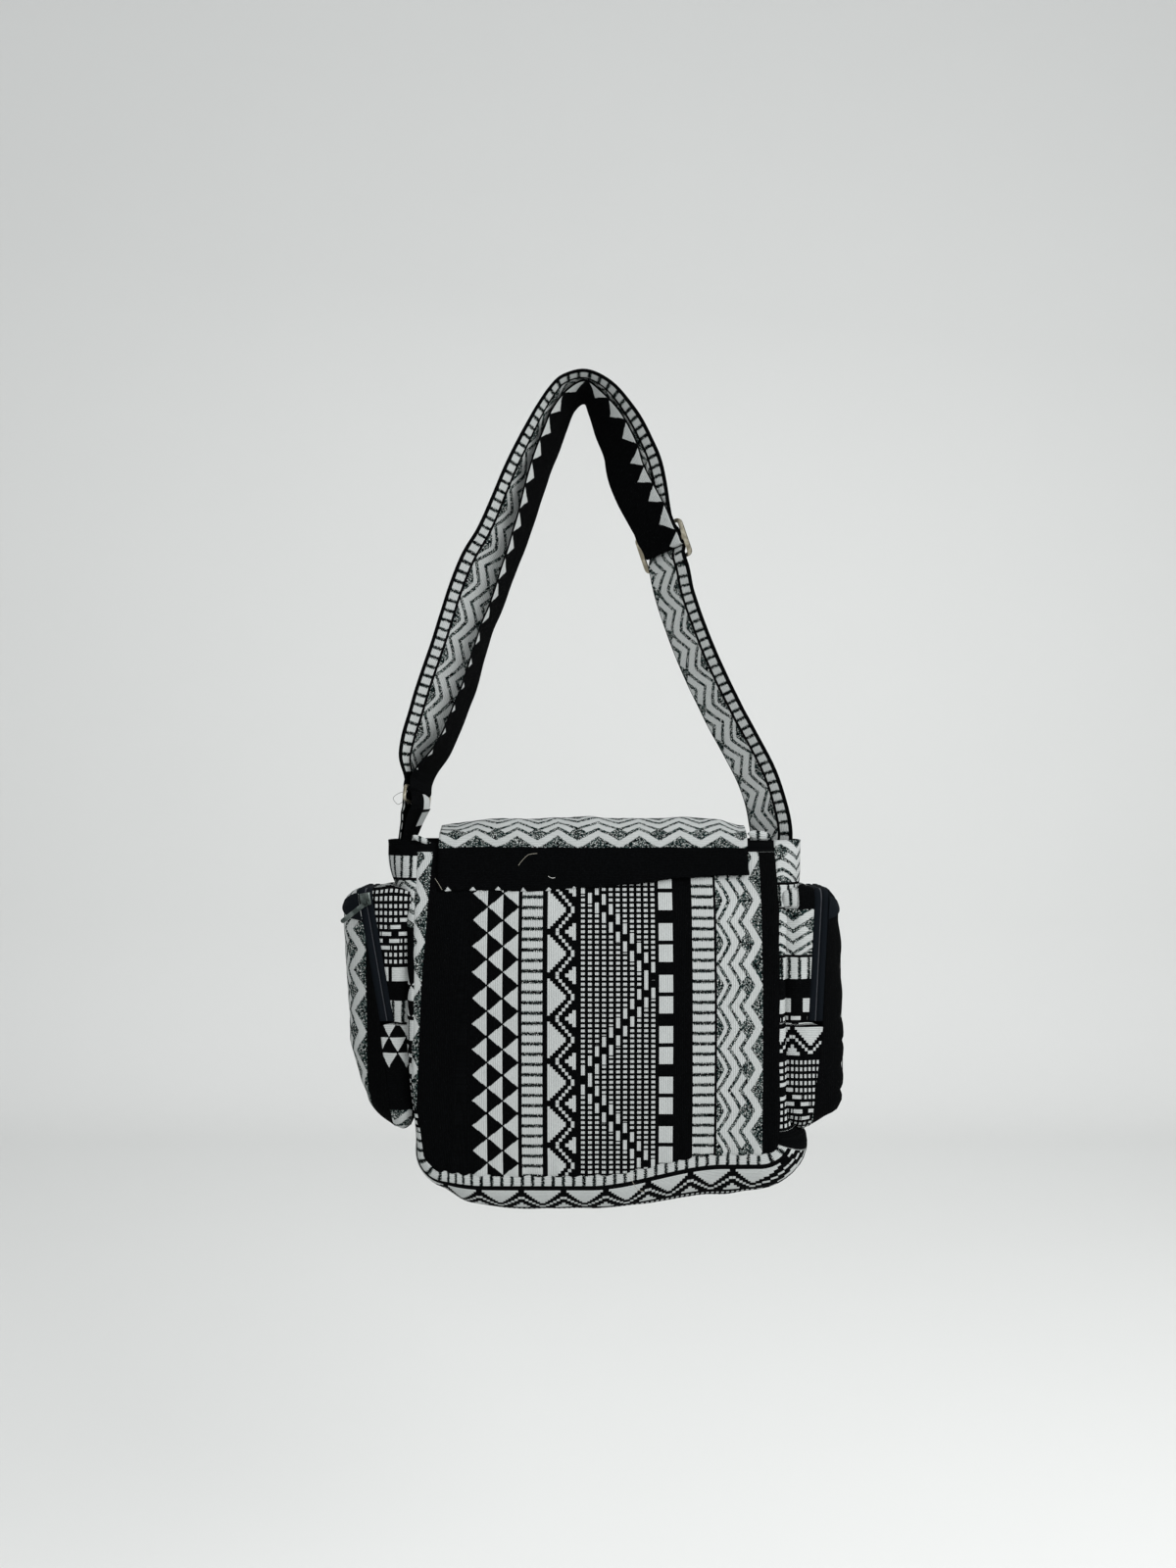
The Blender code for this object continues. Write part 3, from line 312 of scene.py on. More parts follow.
class Board:
    """A material's node tree."""

    def __init__(self, name):
        self.material = bpy.data.materials.new(name)
        self.material.use_nodes = True
        self.tree = self.material.node_tree
        self.shader = self.tree.nodes["Principled BSDF"]

    def node(self, kind, settings, sockets):
        node = self.tree.nodes.new(kind)
        for key, value in settings.items():
            if key == "stops":
                self.set_stops(node.color_ramp, value)
            else:
                setattr(node, key, value)
        for key, value in sockets.items():
            self.feed(node.inputs[key], value)
        return node

    def feed(self, socket, value):
        if isinstance(value, Value):
            self.tree.links.new(value.socket, socket)
        else:
            socket.default_value = value

    def set_stops(self, ramp, stops):
        ramp.interpolation = "CONSTANT"
        while len(ramp.elements) < len(stops):
            ramp.elements.new(1.0)
        for element, (position, color) in zip(ramp.elements, stops):
            element.position = position
            element.color = (*color, 1)

    def mix(self, factor, first, second):
        """Colour between two, each a Value or a colour."""
        colors = {index: item if isinstance(item, Value) else (*item, 1)
                  for index, item in ((6, first), (7, second))}
        node = self.node("ShaderNodeMix", {"data_type": "RGBA"}, {0: factor, **colors})
        return Value(self, node.outputs[2])

    def uv(self):
        """Place across and along the cloth's bands, in millimetres."""
        source = self.node("ShaderNodeUVMap", {"uv_map": "Cloth"}, {})
        split = self.node("ShaderNodeSeparateXYZ", {}, {0: Value(self, source.outputs[0])})
        return Value(self, split.outputs[0]) * 1000, Value(self, split.outputs[1]) * 1000

    def speckle(self, x, y):
        """A random value for each cell of a grid."""
        cell = self.node("ShaderNodeCombineXYZ", {}, {0: x.whole(), 1: y.whole()})
        node = self.node("ShaderNodeTexWhiteNoise", {"noise_dimensions": "3D"},
                         {0: Value(self, cell.outputs[0])})
        return Value(self, node.outputs["Value"])

    def grain(self, scale, detail=2.0):
        """Smooth noise in the object's own space, from 0 to 1."""
        place = self.node("ShaderNodeTexCoord", {}, {})
        node = self.node("ShaderNodeTexNoise", {}, {0: Value(self, place.outputs["Object"]), "Scale": scale,
                                                    "Detail": detail})
        return Value(self, node.outputs[0])

    def bump(self, height, strength, distance):
        node = self.node("ShaderNodeBump", {}, {"Strength": strength, "Distance": distance, "Height": height})
        self.feed(self.shader.inputs["Normal"], Value(self, node.outputs[0]))

    def surface(self, **sockets):
        for key, value in sockets.items():
            self.feed(self.shader.inputs[key.replace("_", " ")], value)
        return self.material


# Figures of the cloth

def triangle_figure(across, along):
    """Columns of triangles that point to the black band, each column half a triangle further."""
    column = (across - TRIANGLES[0]) / TRIANGLE_COLUMN
    centre = (along - TRIANGLE_START) / TRIANGLE_PERIOD + column.whole() * 0.5
    spread = ((centre + 0.5).part() - 0.5).size() * 2
    edge = 0.04
    return spread.below(column.part() - edge) * across.within(*TRIANGLES)


def ladder_bands(across):
    return across.within(*FIRST_LADDER) + across.within(*SECOND_LADDER)


def ladder_rungs(across, along, rib):
    """Rungs and their black core. Every other rib carries a rung a little further."""
    tooth = (across / rib).part().above(0.5) * 0.5
    off = (along + tooth).from_repeat(LADDER_PERIOD, LADDER_START)
    return off.below(RUNG_HALF), off.below(RUNG_CORE_HALF)


def stepped_figure(across, along):
    """Stepped hills at one edge, small ones at the other and a chain of links between them."""
    x = across - STEPPED[0]
    y = along.from_repeat(STEPPED_PERIOD, STEPPED_START)
    step = 2.1
    hill_steps = 6.5
    hill = ((x / step).whole() + (y / step).whole()).below(hill_steps) * x.above(0)
    link = 2.9
    link_half = 1.35
    link_share = 0.88
    chain_top = 21.6
    chain_end = 23.0
    middle = chain_top - ((y / link).whole() + 0.5) * (link * 0.85)
    chain = (x - middle).size().below(link_half) * (y / link).part().below(link_share)
    small_foot = 14.4
    small_rise = 2.65
    small_tip = 1.4
    depth = STEPPED_PERIOD / 2 - y
    small = (depth.below(((x - small_foot) / link).whole() * small_rise + small_tip)
             * x.within(small_foot, chain_end))
    return hill.most(chain * x.below(chain_end)).most(small) * across.within(*STEPPED)


def dot_figure(across, along):
    """Rows of dots, parted by a long zigzag of dashes."""
    margin = 0.9
    column = (across - DOTS[0] + margin) / DOT_COLUMN
    bar = (column.part() - 0.5).size().below(0.27)
    wave = (along - ZIGZAG_START).math("PINGPONG", ZIGZAG_HALF)
    away = (wave - (10.4 - column.whole()) * (ZIGZAG_HALF / ZIGZAG_COLUMNS)).size()
    dash_away = 7.1
    dash_half = 4.1
    dot_half = 1.12
    first_dot = 12.2
    dash = (away - dash_away).size().below(dash_half)
    dot = along.from_repeat(DOT_ROW, DOT_START).below(dot_half) * away.above(first_dot)
    return bar * dash.most(dot) * across.within(*DOTS)


def square_figure(across, along):
    return along.from_repeat(SQUARES_PERIOD, SQUARES_START).within(*SQUARE_GAP) * across.within(*SQUARES)


def chevron_figure(across, along):
    """White and speckled parts of the chevron band."""
    inside = across.within(*CHEVRONS)
    x = across - CHEVRONS[0]
    sharpness = 1.25
    swing = 9.7
    t = (along.from_repeat(CHEVRON_PERIOD, CHEVRON_START) * (2 / CHEVRON_PERIOD)).math("POWER", sharpness)
    s = x + t * swing
    lines = sum(s.within(low, high) for low, high in CHEVRON_LINES)
    diamond_middle = 24.8
    diamond_half = 6.2
    diamond = ((x - diamond_middle).size() / diamond_half + t / 0.42).below(1.0)
    speckled = lines.most(diamond).least(1.0)
    return (1 - speckled) * inside, speckled * inside


def jacquard(name):
    """The woven cloth: every figure lies by its place across and along the bands."""
    looks = bpy.context.scene.bag_cloth
    board = Board(name)
    across_all, along_all = board.uv()
    repeat = (across_all / REPEAT).part() * REPEAT
    thread = looks.rib / 2
    pick = 0.62
    float_length = 0.95
    fleck = 0.78
    across = ((repeat / thread).whole() + 0.5) * thread
    along = ((along_all / pick).whole() + 0.5) * pick

    rungs, cores = ladder_rungs(repeat, along_all, looks.rib)
    ladders = ladder_bands(repeat)
    chevron_white, chevron_speck = chevron_figure(across, along)
    white = (triangle_figure(across, along) + ladders * (1 - rungs) + stepped_figure(repeat, along_all)
             + dot_figure(repeat, along_all) + square_figure(repeat, along_all) + chevron_white)
    speck = ladders * (rungs - cores) + chevron_speck

    rib = (across_all / looks.rib).part()
    crown = rib * (1 - rib) * 4
    shift = (across_all / looks.rib).whole() * 0.5
    float_place = (along_all / float_length + shift).part()
    floats = float_place * (1 - float_place) * 4
    yarn = board.speckle(across_all / looks.rib, along_all / float_length)
    cloudy = board.grain(55.0)

    melange = board.node("ShaderNodeValToRGB", {"stops": (
        (0.0, looks.black), (0.42, looks.green), (0.64, (0.085, 0.105, 0.10)), (0.80, (0.25, 0.27, 0.26)),
        (0.93, (0.45, 0.46, 0.45)))}, {0: board.speckle(across_all / pick, along_all / fleck)})
    # Black yarn: lighter where the random yarn tone is high (the cloth's own) and on each rib's crown (a
    # painted sheen highlight).
    dark = board.mix((yarn * 0.6 + crown * 0.3).least(1.0), looks.black, tuple(c * 2.6 for c in looks.black))
    # Pale yarn: painted shade in the grooves between ribs, plus random yarn tone and cloudy tone that are the
    # cloth's own.
    groove_shade_and_yarn_tone = (1 - crown) * 0.38 + (1 - yarn) * 0.10 + (1 - cloudy) * 0.16
    pale = board.mix(groove_shade_and_yarn_tone, looks.white, tuple(c * 0.42 for c in looks.white))
    color = board.mix(speck, dark, Value(board, melange.outputs[0]))
    color = board.mix(white, color, pale)
    board.bump(crown * 0.6 + crown * floats * 0.5 + white * 0.25 + yarn * 0.15, 0.75, 0.0005)
    return board.surface(Base_Color=color, Roughness=0.95, Specular_IOR_Level=0.015)


def lining_cloth():
    board = Board("black_lining")
    warp = board.grain(900.0)
    board.bump(warp, 0.4, 0.0003)
    color = board.mix(warp, (0.0010, 0.0010, 0.0012), (0.0035, 0.0035, 0.0040))
    return board.surface(Base_Color=color, Roughness=0.95, Specular_IOR_Level=0.015)


def tape_cloth():
    looks = bpy.context.scene.bag_zips
    board = Board("navy_tape")
    across, along = board.uv()
    rib_width = 0.6
    pick = 0.55
    wave = (along / pick + (across / rib_width).whole() * 0.5).part()
    rib = (across / rib_width).part()
    height = wave * (1 - wave) * 2 + rib * (1 - rib) * 2
    # Painted shade in the weave's hollows and painted highlight on its crowns: the tape's colour darkens and
    # lightens with the height of its ribs.
    dark = tuple(c * 0.6 for c in looks.tape)
    pale = tuple(c * 1.7 for c in looks.tape)
    color = board.mix(height.least(1.0), dark, pale)
    board.bump(height, 0.6, 0.0002)
    return board.surface(Base_Color=color, Roughness=0.85, Specular_IOR_Level=0.05)


def coil_plastic():
    board = Board("coil_plastic")
    color = board.mix(board.grain(300.0), (0.020, 0.023, 0.030), (0.040, 0.044, 0.055))
    return board.surface(Base_Color=color, Roughness=0.42)


def worn_metal(name, color, worn):
    """Plated metal, paler where it is rubbed."""
    board = Board(name)
    patch = board.grain(140.0, 4.0)
    fine = board.grain(1400.0, 2.0)
    rubbed = ((patch - 0.45) * 5).least(1.0).most(0.0)
    board.bump(fine * 0.4 + patch * 0.6, 0.25, 0.0002)
    return board.surface(Base_Color=board.mix(rubbed, color, worn), Metallic=1.0,
                         Roughness=fine * 0.16 + 0.30 - rubbed * 0.06)


def yarn_look(name, color):
    board = Board(name)
    return board.surface(Base_Color=board.mix(board.grain(700.0), color, tuple(c * 0.6 for c in color)),
                         Roughness=0.9)


# Shape helpers

def clamp(value, low=0.0, high=1.0):
    return max(low, min(high, value))


def smooth(value):
    t = clamp(value)
    return t * t * (3 - 2 * t)


def lerp(a, b, t):
    return a + (b - a) * t


def steps_between(low, high, count):
    return [lerp(low, high, k / count) for k in range(count + 1)]


def table(points, x):
    """Smooth value at x through (x, value) pairs, level beyond the first and the last."""
    if x <= points[0][0]:
        return points[0][1]
    for k in range(len(points) - 1):
        x0, v0 = points[k]
        x1, v1 = points[k + 1]
        if x <= x1:
            before = points[max(k - 1, 0)]
            after = points[min(k + 2, len(points) - 1)]
            slope0 = (v1 - before[1]) / (x1 - before[0])
            slope1 = (after[1] - v0) / (after[0] - x0)
            span = x1 - x0
            t = (x - x0) / span
            a = v0 + slope0 * span * t
            b = v1 - slope1 * span * (1 - t)
            return lerp(a, b, t * t * (3 - 2 * t))
    return points[-1][1]


def walk(start, heading, steps, distance):
    """Place and heading after a distance along straight runs and arcs, given as (length, turn)."""
    x, y = start
    for length, turn in steps:
        part = clamp(distance, 0.0, length)
        if turn:
            radius = length / turn
            end = heading + turn * part / length
            x += radius * (sin(end) - sin(heading))
            y += radius * (cos(heading) - cos(end))
            heading = end
        else:
            x += part * cos(heading)
            y += part * sin(heading)
        distance -= part
        if distance <= 0:
            break
    return x, y, heading


def catmull(points, per_span):
    """Smooth chain of vectors through the given ones."""
    chain = []
    for k in range(len(points) - 1):
        p1, p2 = points[k], points[k + 1]
        p0 = points[k - 1] if k else p1 * 2 - p2
        p3 = points[k + 2] if k + 2 < len(points) else p2 * 2 - p1
        for j in range(per_span):
            t = j / per_span
            chain.append(0.5 * (2 * p1 + (p2 - p0) * t + (2 * p0 - 5 * p1 + 4 * p2 - p3) * t ** 2
                                + (3 * p1 - p0 - 3 * p2 + p3) * t ** 3))
    return chain + [points[-1].copy()]


def ruffle(x, y, z, size):
    """Smooth random height between -1 and 1, with hills of about the given size."""
    return noise.noise(Vector((x, y, z)) / size)


def link_mesh(name, bm, materials, body, node_names=()):
    for face in bm.faces:
        face.smooth = True
    mesh = bpy.data.meshes.new(name)
    bm.to_mesh(mesh)
    bm.free()
    obj = bpy.data.objects.new(name, mesh)
    bpy.context.scene.collection.objects.link(obj)
    for material in materials:
        mesh.materials.append(material)
    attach(obj, body)
    if node_names:
        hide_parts(*node_names)
    return obj


def grid(across, along, place, figure, inside, closed=False):
    """Sheet through place(a, b) with its place in the cloth from figure(a, b, point), in metres.

    Its outer side faces away from the point inside.
    """
    bm = bmesh.new()
    layer = bm.loops.layers.uv.new("Cloth")
    rows = []
    spots = {}
    for b in along:
        row = []
        for a in across:
            point = place(a, b)
            vert = bm.verts.new(point)
            spots[vert] = figure(a, b, point)
            row.append(vert)
        rows.append(row)
    for low, high in zip(rows, rows[1:]):
        for k in range(len(across) - 1):
            face = bm.faces.new((low[k], low[k + 1], high[k + 1], high[k]))
            for loop in face.loops:
                loop[layer].uv = spots[loop.vert]
    if closed:
        bmesh.ops.remove_doubles(bm, verts=bm.verts, dist=0.00005)
    bm.normal_update()
    if sum(face.calc_area() * face.normal.dot(face.calc_center_median() - inside) for face in bm.faces) < 0:
        bmesh.ops.reverse_faces(bm, faces=bm.faces)
    return bm


def thicken(obj, thickness):
    solid = obj.modifiers.new("Thickness", "SOLIDIFY")
    solid.thickness = thickness
    solid.offset = 0.0
    solid.material_offset = 1
    solid.material_offset_rim = 0


def frame_matrix(origin, x_axis, y_axis, z_axis):
    matrix = Matrix((x_axis, y_axis, z_axis)).transposed().to_4x4()
    matrix.translation = origin
    return matrix


# Body

SEAM_STEPS = (
    (PANEL_HEIGHT - CORNER_RADIUS, 0.0),
    (CORNER_RADIUS * pi / 2, pi / 2),
    (PANEL_WIDTH - 2 * CORNER_RADIUS, 0.0),
    (CORNER_RADIUS * pi / 2, pi / 2),
    (PANEL_HEIGHT - CORNER_RADIUS, 0.0),
)
SEAM_LENGTH = sum(length for length, turn in SEAM_STEPS)
BODY_MIDDLE = Vector((PANEL_CENTRE_X, 0.0, MOUTH_Z - PANEL_HEIGHT / 2))
EDGE_ROLL = 0.0045
BODY_HEM = 0.0095

# Heights where the gussets' cloth changes, and how far from the panel the right collar reaches
BASE_CLOTH_Z = -0.6175
BASE_BLACK_Z = -0.6285
RIGHT_COLLAR_Z = -0.4365
COLLAR_REACH = 0.016

SEAM_SINK = 0.0016
SEAM_OVERLAP = 0.0012
BREAK_GAP = 0.0003


def back_y(v):
    return table(BACK_PROFILE, v)


def lift(u, v):
    right = RIGHT_LIFT * smooth((u - 0.48) / 0.37)
    left = LEFT_LIFT * smooth((0.2 - u) / 0.2)
    return (right + left) * v ** 3


def seam(distance):
    """Seam point x, z, depth fraction, outward x and z, along the U of the panel's edge."""
    x, z, heading = walk((PANEL_LEFT, MOUTH_Z), -pi / 2, SEAM_STEPS, distance)
    v = (MOUTH_Z - z) / PANEL_HEIGHT
    u = (x - PANEL_LEFT) / PANEL_WIDTH
    return x, z + lift(u, v), v, sin(heading), -cos(heading)


def tuck(x, z):
    """The lower left corner is drawn in towards the middle."""
    return 0.0095 * smooth((-0.575 - z) / 0.075) * smooth((-0.080 - x) / 0.050)


def gusset_point(distance, across):
    x, z, v, out_x, out_z = seam(distance)
    near = back_y(v) + 0.0010
    far = FRONT_Y - 0.0010
    middle = sin(pi * across)
    swell = table(GUSSET_BULGE, distance / SEAM_LENGTH) * middle - SEAM_SINK * (1 - middle) ** 6
    y = lerp(near, far, (1 - cos(pi * across)) / 2)
    swell += 0.0007 * ruffle(x, y, z, 0.018) * middle
    return Vector((x + out_x * swell + tuck(x, z), y, z + out_z * swell))


def panel_row_inset(v):
    above = (1 - v) * PANEL_HEIGHT
    if above >= CORNER_RADIUS:
        return 0.0
    return CORNER_RADIUS - sqrt(max(CORNER_RADIUS ** 2 - (CORNER_RADIUS - above) ** 2, 0.0))


def edge_distance(x, v):
    """Distance to the panel's nearest sewn edge."""
    inset = panel_row_inset(v)
    side = min(x - PANEL_LEFT - inset, PANEL_RIGHT - inset - x)
    return max(min(side, (1 - v) * PANEL_HEIGHT), 0.0)


def panel_point(u, v, y_at):
    inset = panel_row_inset(v)
    x = lerp(PANEL_LEFT + inset, PANEL_RIGHT - inset, u)
    u_flat = (x - PANEL_LEFT) / PANEL_WIDTH
    z = MOUTH_Z - v * PANEL_HEIGHT + lift(u_flat, v)
    return Vector((x + tuck(x, z), y_at(u_flat, v, x, z), z))


def roll(x, v):
    """How far the cloth turns in at a sewn edge."""
    return SEAM_SINK * (1 - clamp(edge_distance(x, v) / EDGE_ROLL)) ** 2


def back_surface(u, v, x, z):
    y = back_y(v) - PANEL_BULGE * sin(pi * clamp(u)) * sin(pi * clamp(v)) ** 0.7
    ripple = 0.0008 * ruffle(x * 1.6, 0.3, z * 0.45, 0.03) + 0.0004 * ruffle(x, 0.7, z, 0.012)
    pucker = 0.0007 * sin(x * 420 + 3 * ruffle(x, 0, 0, 0.05)) * smooth((v - 0.90) / 0.1)
    return y + ripple + pucker + roll(x, v)


def front_surface(u, v, x, z):
    ripple = 0.0008 * ruffle(x * 1.6, 0.9, z * 0.45, 0.03)
    return FRONT_Y + PANEL_BULGE * 0.3 * sin(pi * clamp(u)) * sin(pi * clamp(v)) + ripple - roll(x, v)


def seam_place(side, z):
    """Drop below the mouth in the flat panel, and distance along the seam, of the edge's point at z."""
    u = 0.0 if side < 0 else 1.0
    flat_z = z
    for _ in range(5):
        flat_z = z - lift(u, (MOUTH_Z - flat_z) / PANEL_HEIGHT)
    drop = MOUTH_Z - flat_z
    return drop, drop if side < 0 else SEAM_LENGTH - drop


def with_breaks(steps, breaks):
    """Steps with a close pair on each side of every break in the cloth."""
    return sorted(steps + [place + gap for place in breaks for gap in (-BREAK_GAP, BREAK_GAP)])


def gusset_arc(distance, across, count=24):
    """Length of cloth from the near seam to a place across the gusset."""
    points = [gusset_point(distance, across * k / count) for k in range(count + 1)]
    return sum((after - before).length for before, after in zip(points, points[1:]))


def panel_cut(u, v, shift, hem):
    """Place in the cloth. The left seam takes in more of the black band towards the foot."""
    flat_x = panel_point(u, v, lambda *place: 0.0).x
    flat_z = MOUTH_Z - v * PANEL_HEIGHT + lift((flat_x - PANEL_LEFT) / PANEL_WIDTH, v)
    skew = table(LEFT_TAKE, v) * smooth((-0.088 - flat_x) / 0.012)
    return (flat_x + skew + shift if v > hem else BLACK_ACROSS), -flat_z


# Left end, right end and height of each pale fold at the mouth
MOUTH_FOLDS = {
    "left_mouth_fold": ((-0.1375, -0.0250, -0.3792), (-0.1221, -0.0262, -0.3848), 0.0052),
    "right_mouth_fold": ((0.1405, -0.0238, -0.3772), (0.1605, -0.0238, -0.3792), 0.0070),
}


class BAG_OT_body(bpy.types.Operator):
    """Two panels and the three gussets between them"""
    bl_idname = "bag.body"
    bl_label = "Body"

    def execute(self, context):
        thickness = context.scene.bag_cloth.thickness
        corner = CORNER_RADIUS / PANEL_HEIGHT
        columns = steps_between(0.0, 0.03, 4) + steps_between(0.03, 0.97, 92)[1:]
        columns += steps_between(0.97, 1.0, 4)[1:]
        hem = BODY_HEM / PANEL_HEIGHT
        rows = steps_between(0.0, hem - 0.0004, 4) + steps_between(hem + 0.0004, 1 - corner, 82)
        rows += [1 - corner * (1 - sin(k * pi / 20)) for k in range(1, 10)]
        for name, surface, shift in (("back_panel", back_surface, BACK_CUT),
                                     ("front_panel", front_surface, FRONT_CUT)):
            bm = grid(columns, rows, lambda u, v: panel_point(u, v, surface),
                      lambda u, v, p: panel_cut(u, v, shift, hem), BODY_MIDDLE)
            piece = link_mesh(f"{name}_cloth", bm, LOOKS["body"], "bag", (name,))
            thicken(piece, thickness)
        self.add_gussets(thickness)
        for name, (left, right, height) in MOUTH_FOLDS.items():
            self.add_fold(name, Vector(left), Vector(right), height)
        return {"FINISHED"}

    def add_fold(self, name, left, right, height):
        """Small fold of pale cloth that shows at the mouth, shaped like a leaf."""
        def place(share, row):
            round_end = sqrt(max(1 - (2 * share - 1) ** 2, 0.0004))
            bulge = 0.0014 * round_end * (1 - (2 * row - 1) ** 2)
            return lerp(left, right, share) + Vector((0.0, -bulge, height * round_end * (row - 0.5)))

        def cut(share, row, p):
            return MOUTH_FOLD_CUT[0] + 0.005 * row, MOUTH_FOLD_CUT[1] + 0.018 * share

        bm = grid(steps_between(0.0, 1.0, 12), steps_between(0.0, 1.0, 6), place, cut, BODY_MIDDLE)
        link_mesh(name, bm, LOOKS["body"], "bag", ())

    def add_gussets(self, thickness):
        left_end = PANEL_HEIGHT - CORNER_RADIUS - BASE_WRAP
        right_end = SEAM_LENGTH - left_end
        around = steps_between(0.0, 1.0, 28)
        wrap_left = seam_place(-1, BASE_CLOTH_Z)[1]
        wrap_right = seam_place(1, BASE_BLACK_Z)[1]
        black_right = seam_place(1, BASE_CLOTH_Z)[1]
        zip_end = seam_place(1, ZIP_END_Z)[1]
        collar = seam_place(1, RIGHT_COLLAR_Z)[1]

        def left_cut(a, d, p):
            return LEFT_GUSSET_CUT[0] - p.z, LEFT_GUSSET_CUT[1] - gusset_arc(d, a)

        def right_cut(a, d, p):
            """Beside the pocket the pocket's own cloth runs on. Under it the gusset is black."""
            if d > collar:
                return RIGHT_GUSSET_CUT[0] + p.z, RIGHT_GUSSET_CUT[1] + gusset_arc(d, a)
            if d < black_right:
                return BLACK_ACROSS, d
            start, way, along, _ = RIGHT_UPPER_CUT if d > zip_end else RIGHT_LOWER_CUT
            return start + way * (ZIP_END_Z - p.z), along + COLLAR_STRETCH * abs(p.x - PANEL_RIGHT)

        def base_cut(a, d, p):
            if d < wrap_left:
                return left_cut(a, d, p)
            if d > wrap_right:
                return right_cut(a, d, p)
            return BASE_GUSSET_CUT + gusset_arc(d, a), d

        runs = {
            "left_gusset": (steps_between(0.0, left_end + SEAM_OVERLAP, 70), left_cut),
            "base_gusset": (with_breaks(steps_between(left_end, right_end, 150),
                                        (wrap_left, wrap_right, black_right)), base_cut),
            "right_gusset": (with_breaks(steps_between(right_end - SEAM_OVERLAP, SEAM_LENGTH, 70),
                                         (zip_end, collar)), right_cut),
        }
        for name, (along, figure) in runs.items():
            bm = grid(around, along, lambda a, d: gusset_point(d, a), figure, BODY_MIDDLE)
            piece = link_mesh(f"{name}_cloth", bm, LOOKS["body"], "bag", (name,))
            thicken(piece, thickness)


# Flap

def flap_path(u, x):
    """Middle of the flap's cloth in y and z, from its sewn hem over the mouth and down the far side."""
    off = 0.0027
    points = []
    for share in (0.0, 0.25, 0.5, 0.85):
        z = lerp(FLAP_HEM_Z, MOUTH_Z, share)
        v = (MOUTH_Z - z) / PANEL_HEIGHT
        flat = back_y(v) - PANEL_BULGE * sin(pi * clamp(u)) * sin(pi * clamp(v)) ** 0.7
        points.append(Vector((0.0, flat - off - 0.0006, z)))
    mouth_near = back_y(0.0)
    far = FRONT_Y + off + PANEL_BULGE * 0.3
    ends = smooth((x - FLAP_LEFT) / 0.055) * smooth((FLAP_RIGHT - x) / 0.03)
    top = MOUTH_Z + FLAP_RISE * lerp(0.66, 1.0, ends) + 0.0016 * ruffle(x, 0.4, 0.1, 0.022)
    points.append(Vector((0.0, mouth_near - off, MOUTH_Z + 0.004)))
    points.append(Vector((0.0, mouth_near * 0.62, lerp(MOUTH_Z, top, 0.75))))
    points.append(Vector((0.0, -0.002, top)))
    points.append(Vector((0.0, FRONT_Y * 0.6, lerp(MOUTH_Z, top, 0.80))))
    points.append(Vector((0.0, far, MOUTH_Z - 0.001)))
    for share in (0.25, 0.6, 1.0):
        points.append(Vector((0.0, far, MOUTH_Z - FLAP_DROP * share)))
    return catmull(points, 6)


class BAG_OT_flap(bpy.types.Operator):
    """Flap, sewn to the back panel and hanging down the far side"""
    bl_idname = "bag.flap"
    bl_label = "Flap"

    def execute(self, context):
        columns = steps_between(FLAP_LEFT, FLAP_RIGHT, 110)
        paths = {x: flap_path((x - PANEL_LEFT) / PANEL_WIDTH, x) for x in columns}
        middle = paths[columns[55]]
        run = [0.0]
        for before, after in zip(middle, middle[1:]):
            run.append(run[-1] + (after - before).length)

        def droop(x, row):
            """The hem hangs lower at the left than at the right and waves a little."""
            share = 1 - smooth(row / 9)
            tilt = lerp(-0.0058, 0.0075, smooth((x + 0.045) / 0.185))
            return (tilt + 0.0010 * ruffle(x, 0.2, 2.0, 0.028)) * share

        def place(x, row):
            point = paths[x][row]
            wave = 0.0009 * ruffle(x, point.y, point.z * 0.5, 0.020)
            wave += 0.0004 * ruffle(x, point.y, point.z, 0.008)
            pucker = 0.0008 * sin(x * 520 + 4 * ruffle(x, 0, 0, 0.04)) * (1 - smooth(row / 3))
            return Vector((x, point.y + wave + pucker, point.z + wave + droop(x, row)))

        bm = grid(columns, list(range(len(middle))), place,
                  lambda x, row, p: (FLAP_CUT[0] - run[row] - droop(x, row), x + FLAP_CUT[1]), BODY_MIDDLE)
        piece = link_mesh("flap_cloth", bm, LOOKS["body"], "bag", ("flap",))
        thicken(piece, context.scene.bag_cloth.thickness)
        return {"FINISHED"}


# Side pockets

POCKET_HALF = POCKET_WIDTH / 2
POCKET_BASE_Z = POCKET_TOP_Z - POCKET_HEIGHT
ZIP_END_Z = POCKET_TOP_Z - ZIP_RUN_END
COIL_GAP = 0.0003
BAND_HALF = TEETH_WIDTH / 2 + COIL_GAP + ZIP_TAPE
TAPE_TUCK = 0.0012
TAPE_THICK = 0.0006
POCKET_STEPS = (
    (POCKET_HALF - POCKET_BASE_RADIUS, 0.0),
    (POCKET_BASE_RADIUS * pi / 2, -pi / 2),
    (POCKET_HEIGHT - POCKET_BASE_RADIUS - POCKET_TOP_RADIUS, 0.0),
    (POCKET_TOP_RADIUS * pi / 2, -pi / 2),
    (POCKET_WIDTH - 2 * POCKET_TOP_RADIUS, 0.0),
    (POCKET_TOP_RADIUS * pi / 2, -pi / 2),
    (POCKET_HEIGHT - POCKET_BASE_RADIUS - POCKET_TOP_RADIUS, 0.0),
    (POCKET_BASE_RADIUS * pi / 2, -pi / 2),
    (POCKET_HALF - POCKET_BASE_RADIUS, 0.0),
)
POCKET_LENGTH = sum(length for length, turn in POCKET_STEPS)
ZIP_START = POCKET_STEPS[0][0] + POCKET_STEPS[1][0] + ZIP_END_Z - POCKET_BASE_Z - POCKET_BASE_RADIUS
ZIP_STOP = POCKET_LENGTH - ZIP_START


def pocket_outline(distance):
    """Point y, z and outward y, z of the pocket's outline, from the middle of its foot."""
    y, z, heading = walk((POCKET_CENTRE_Y, POCKET_BASE_Z), pi, POCKET_STEPS, distance)
    return y, z, -sin(heading), cos(heading)


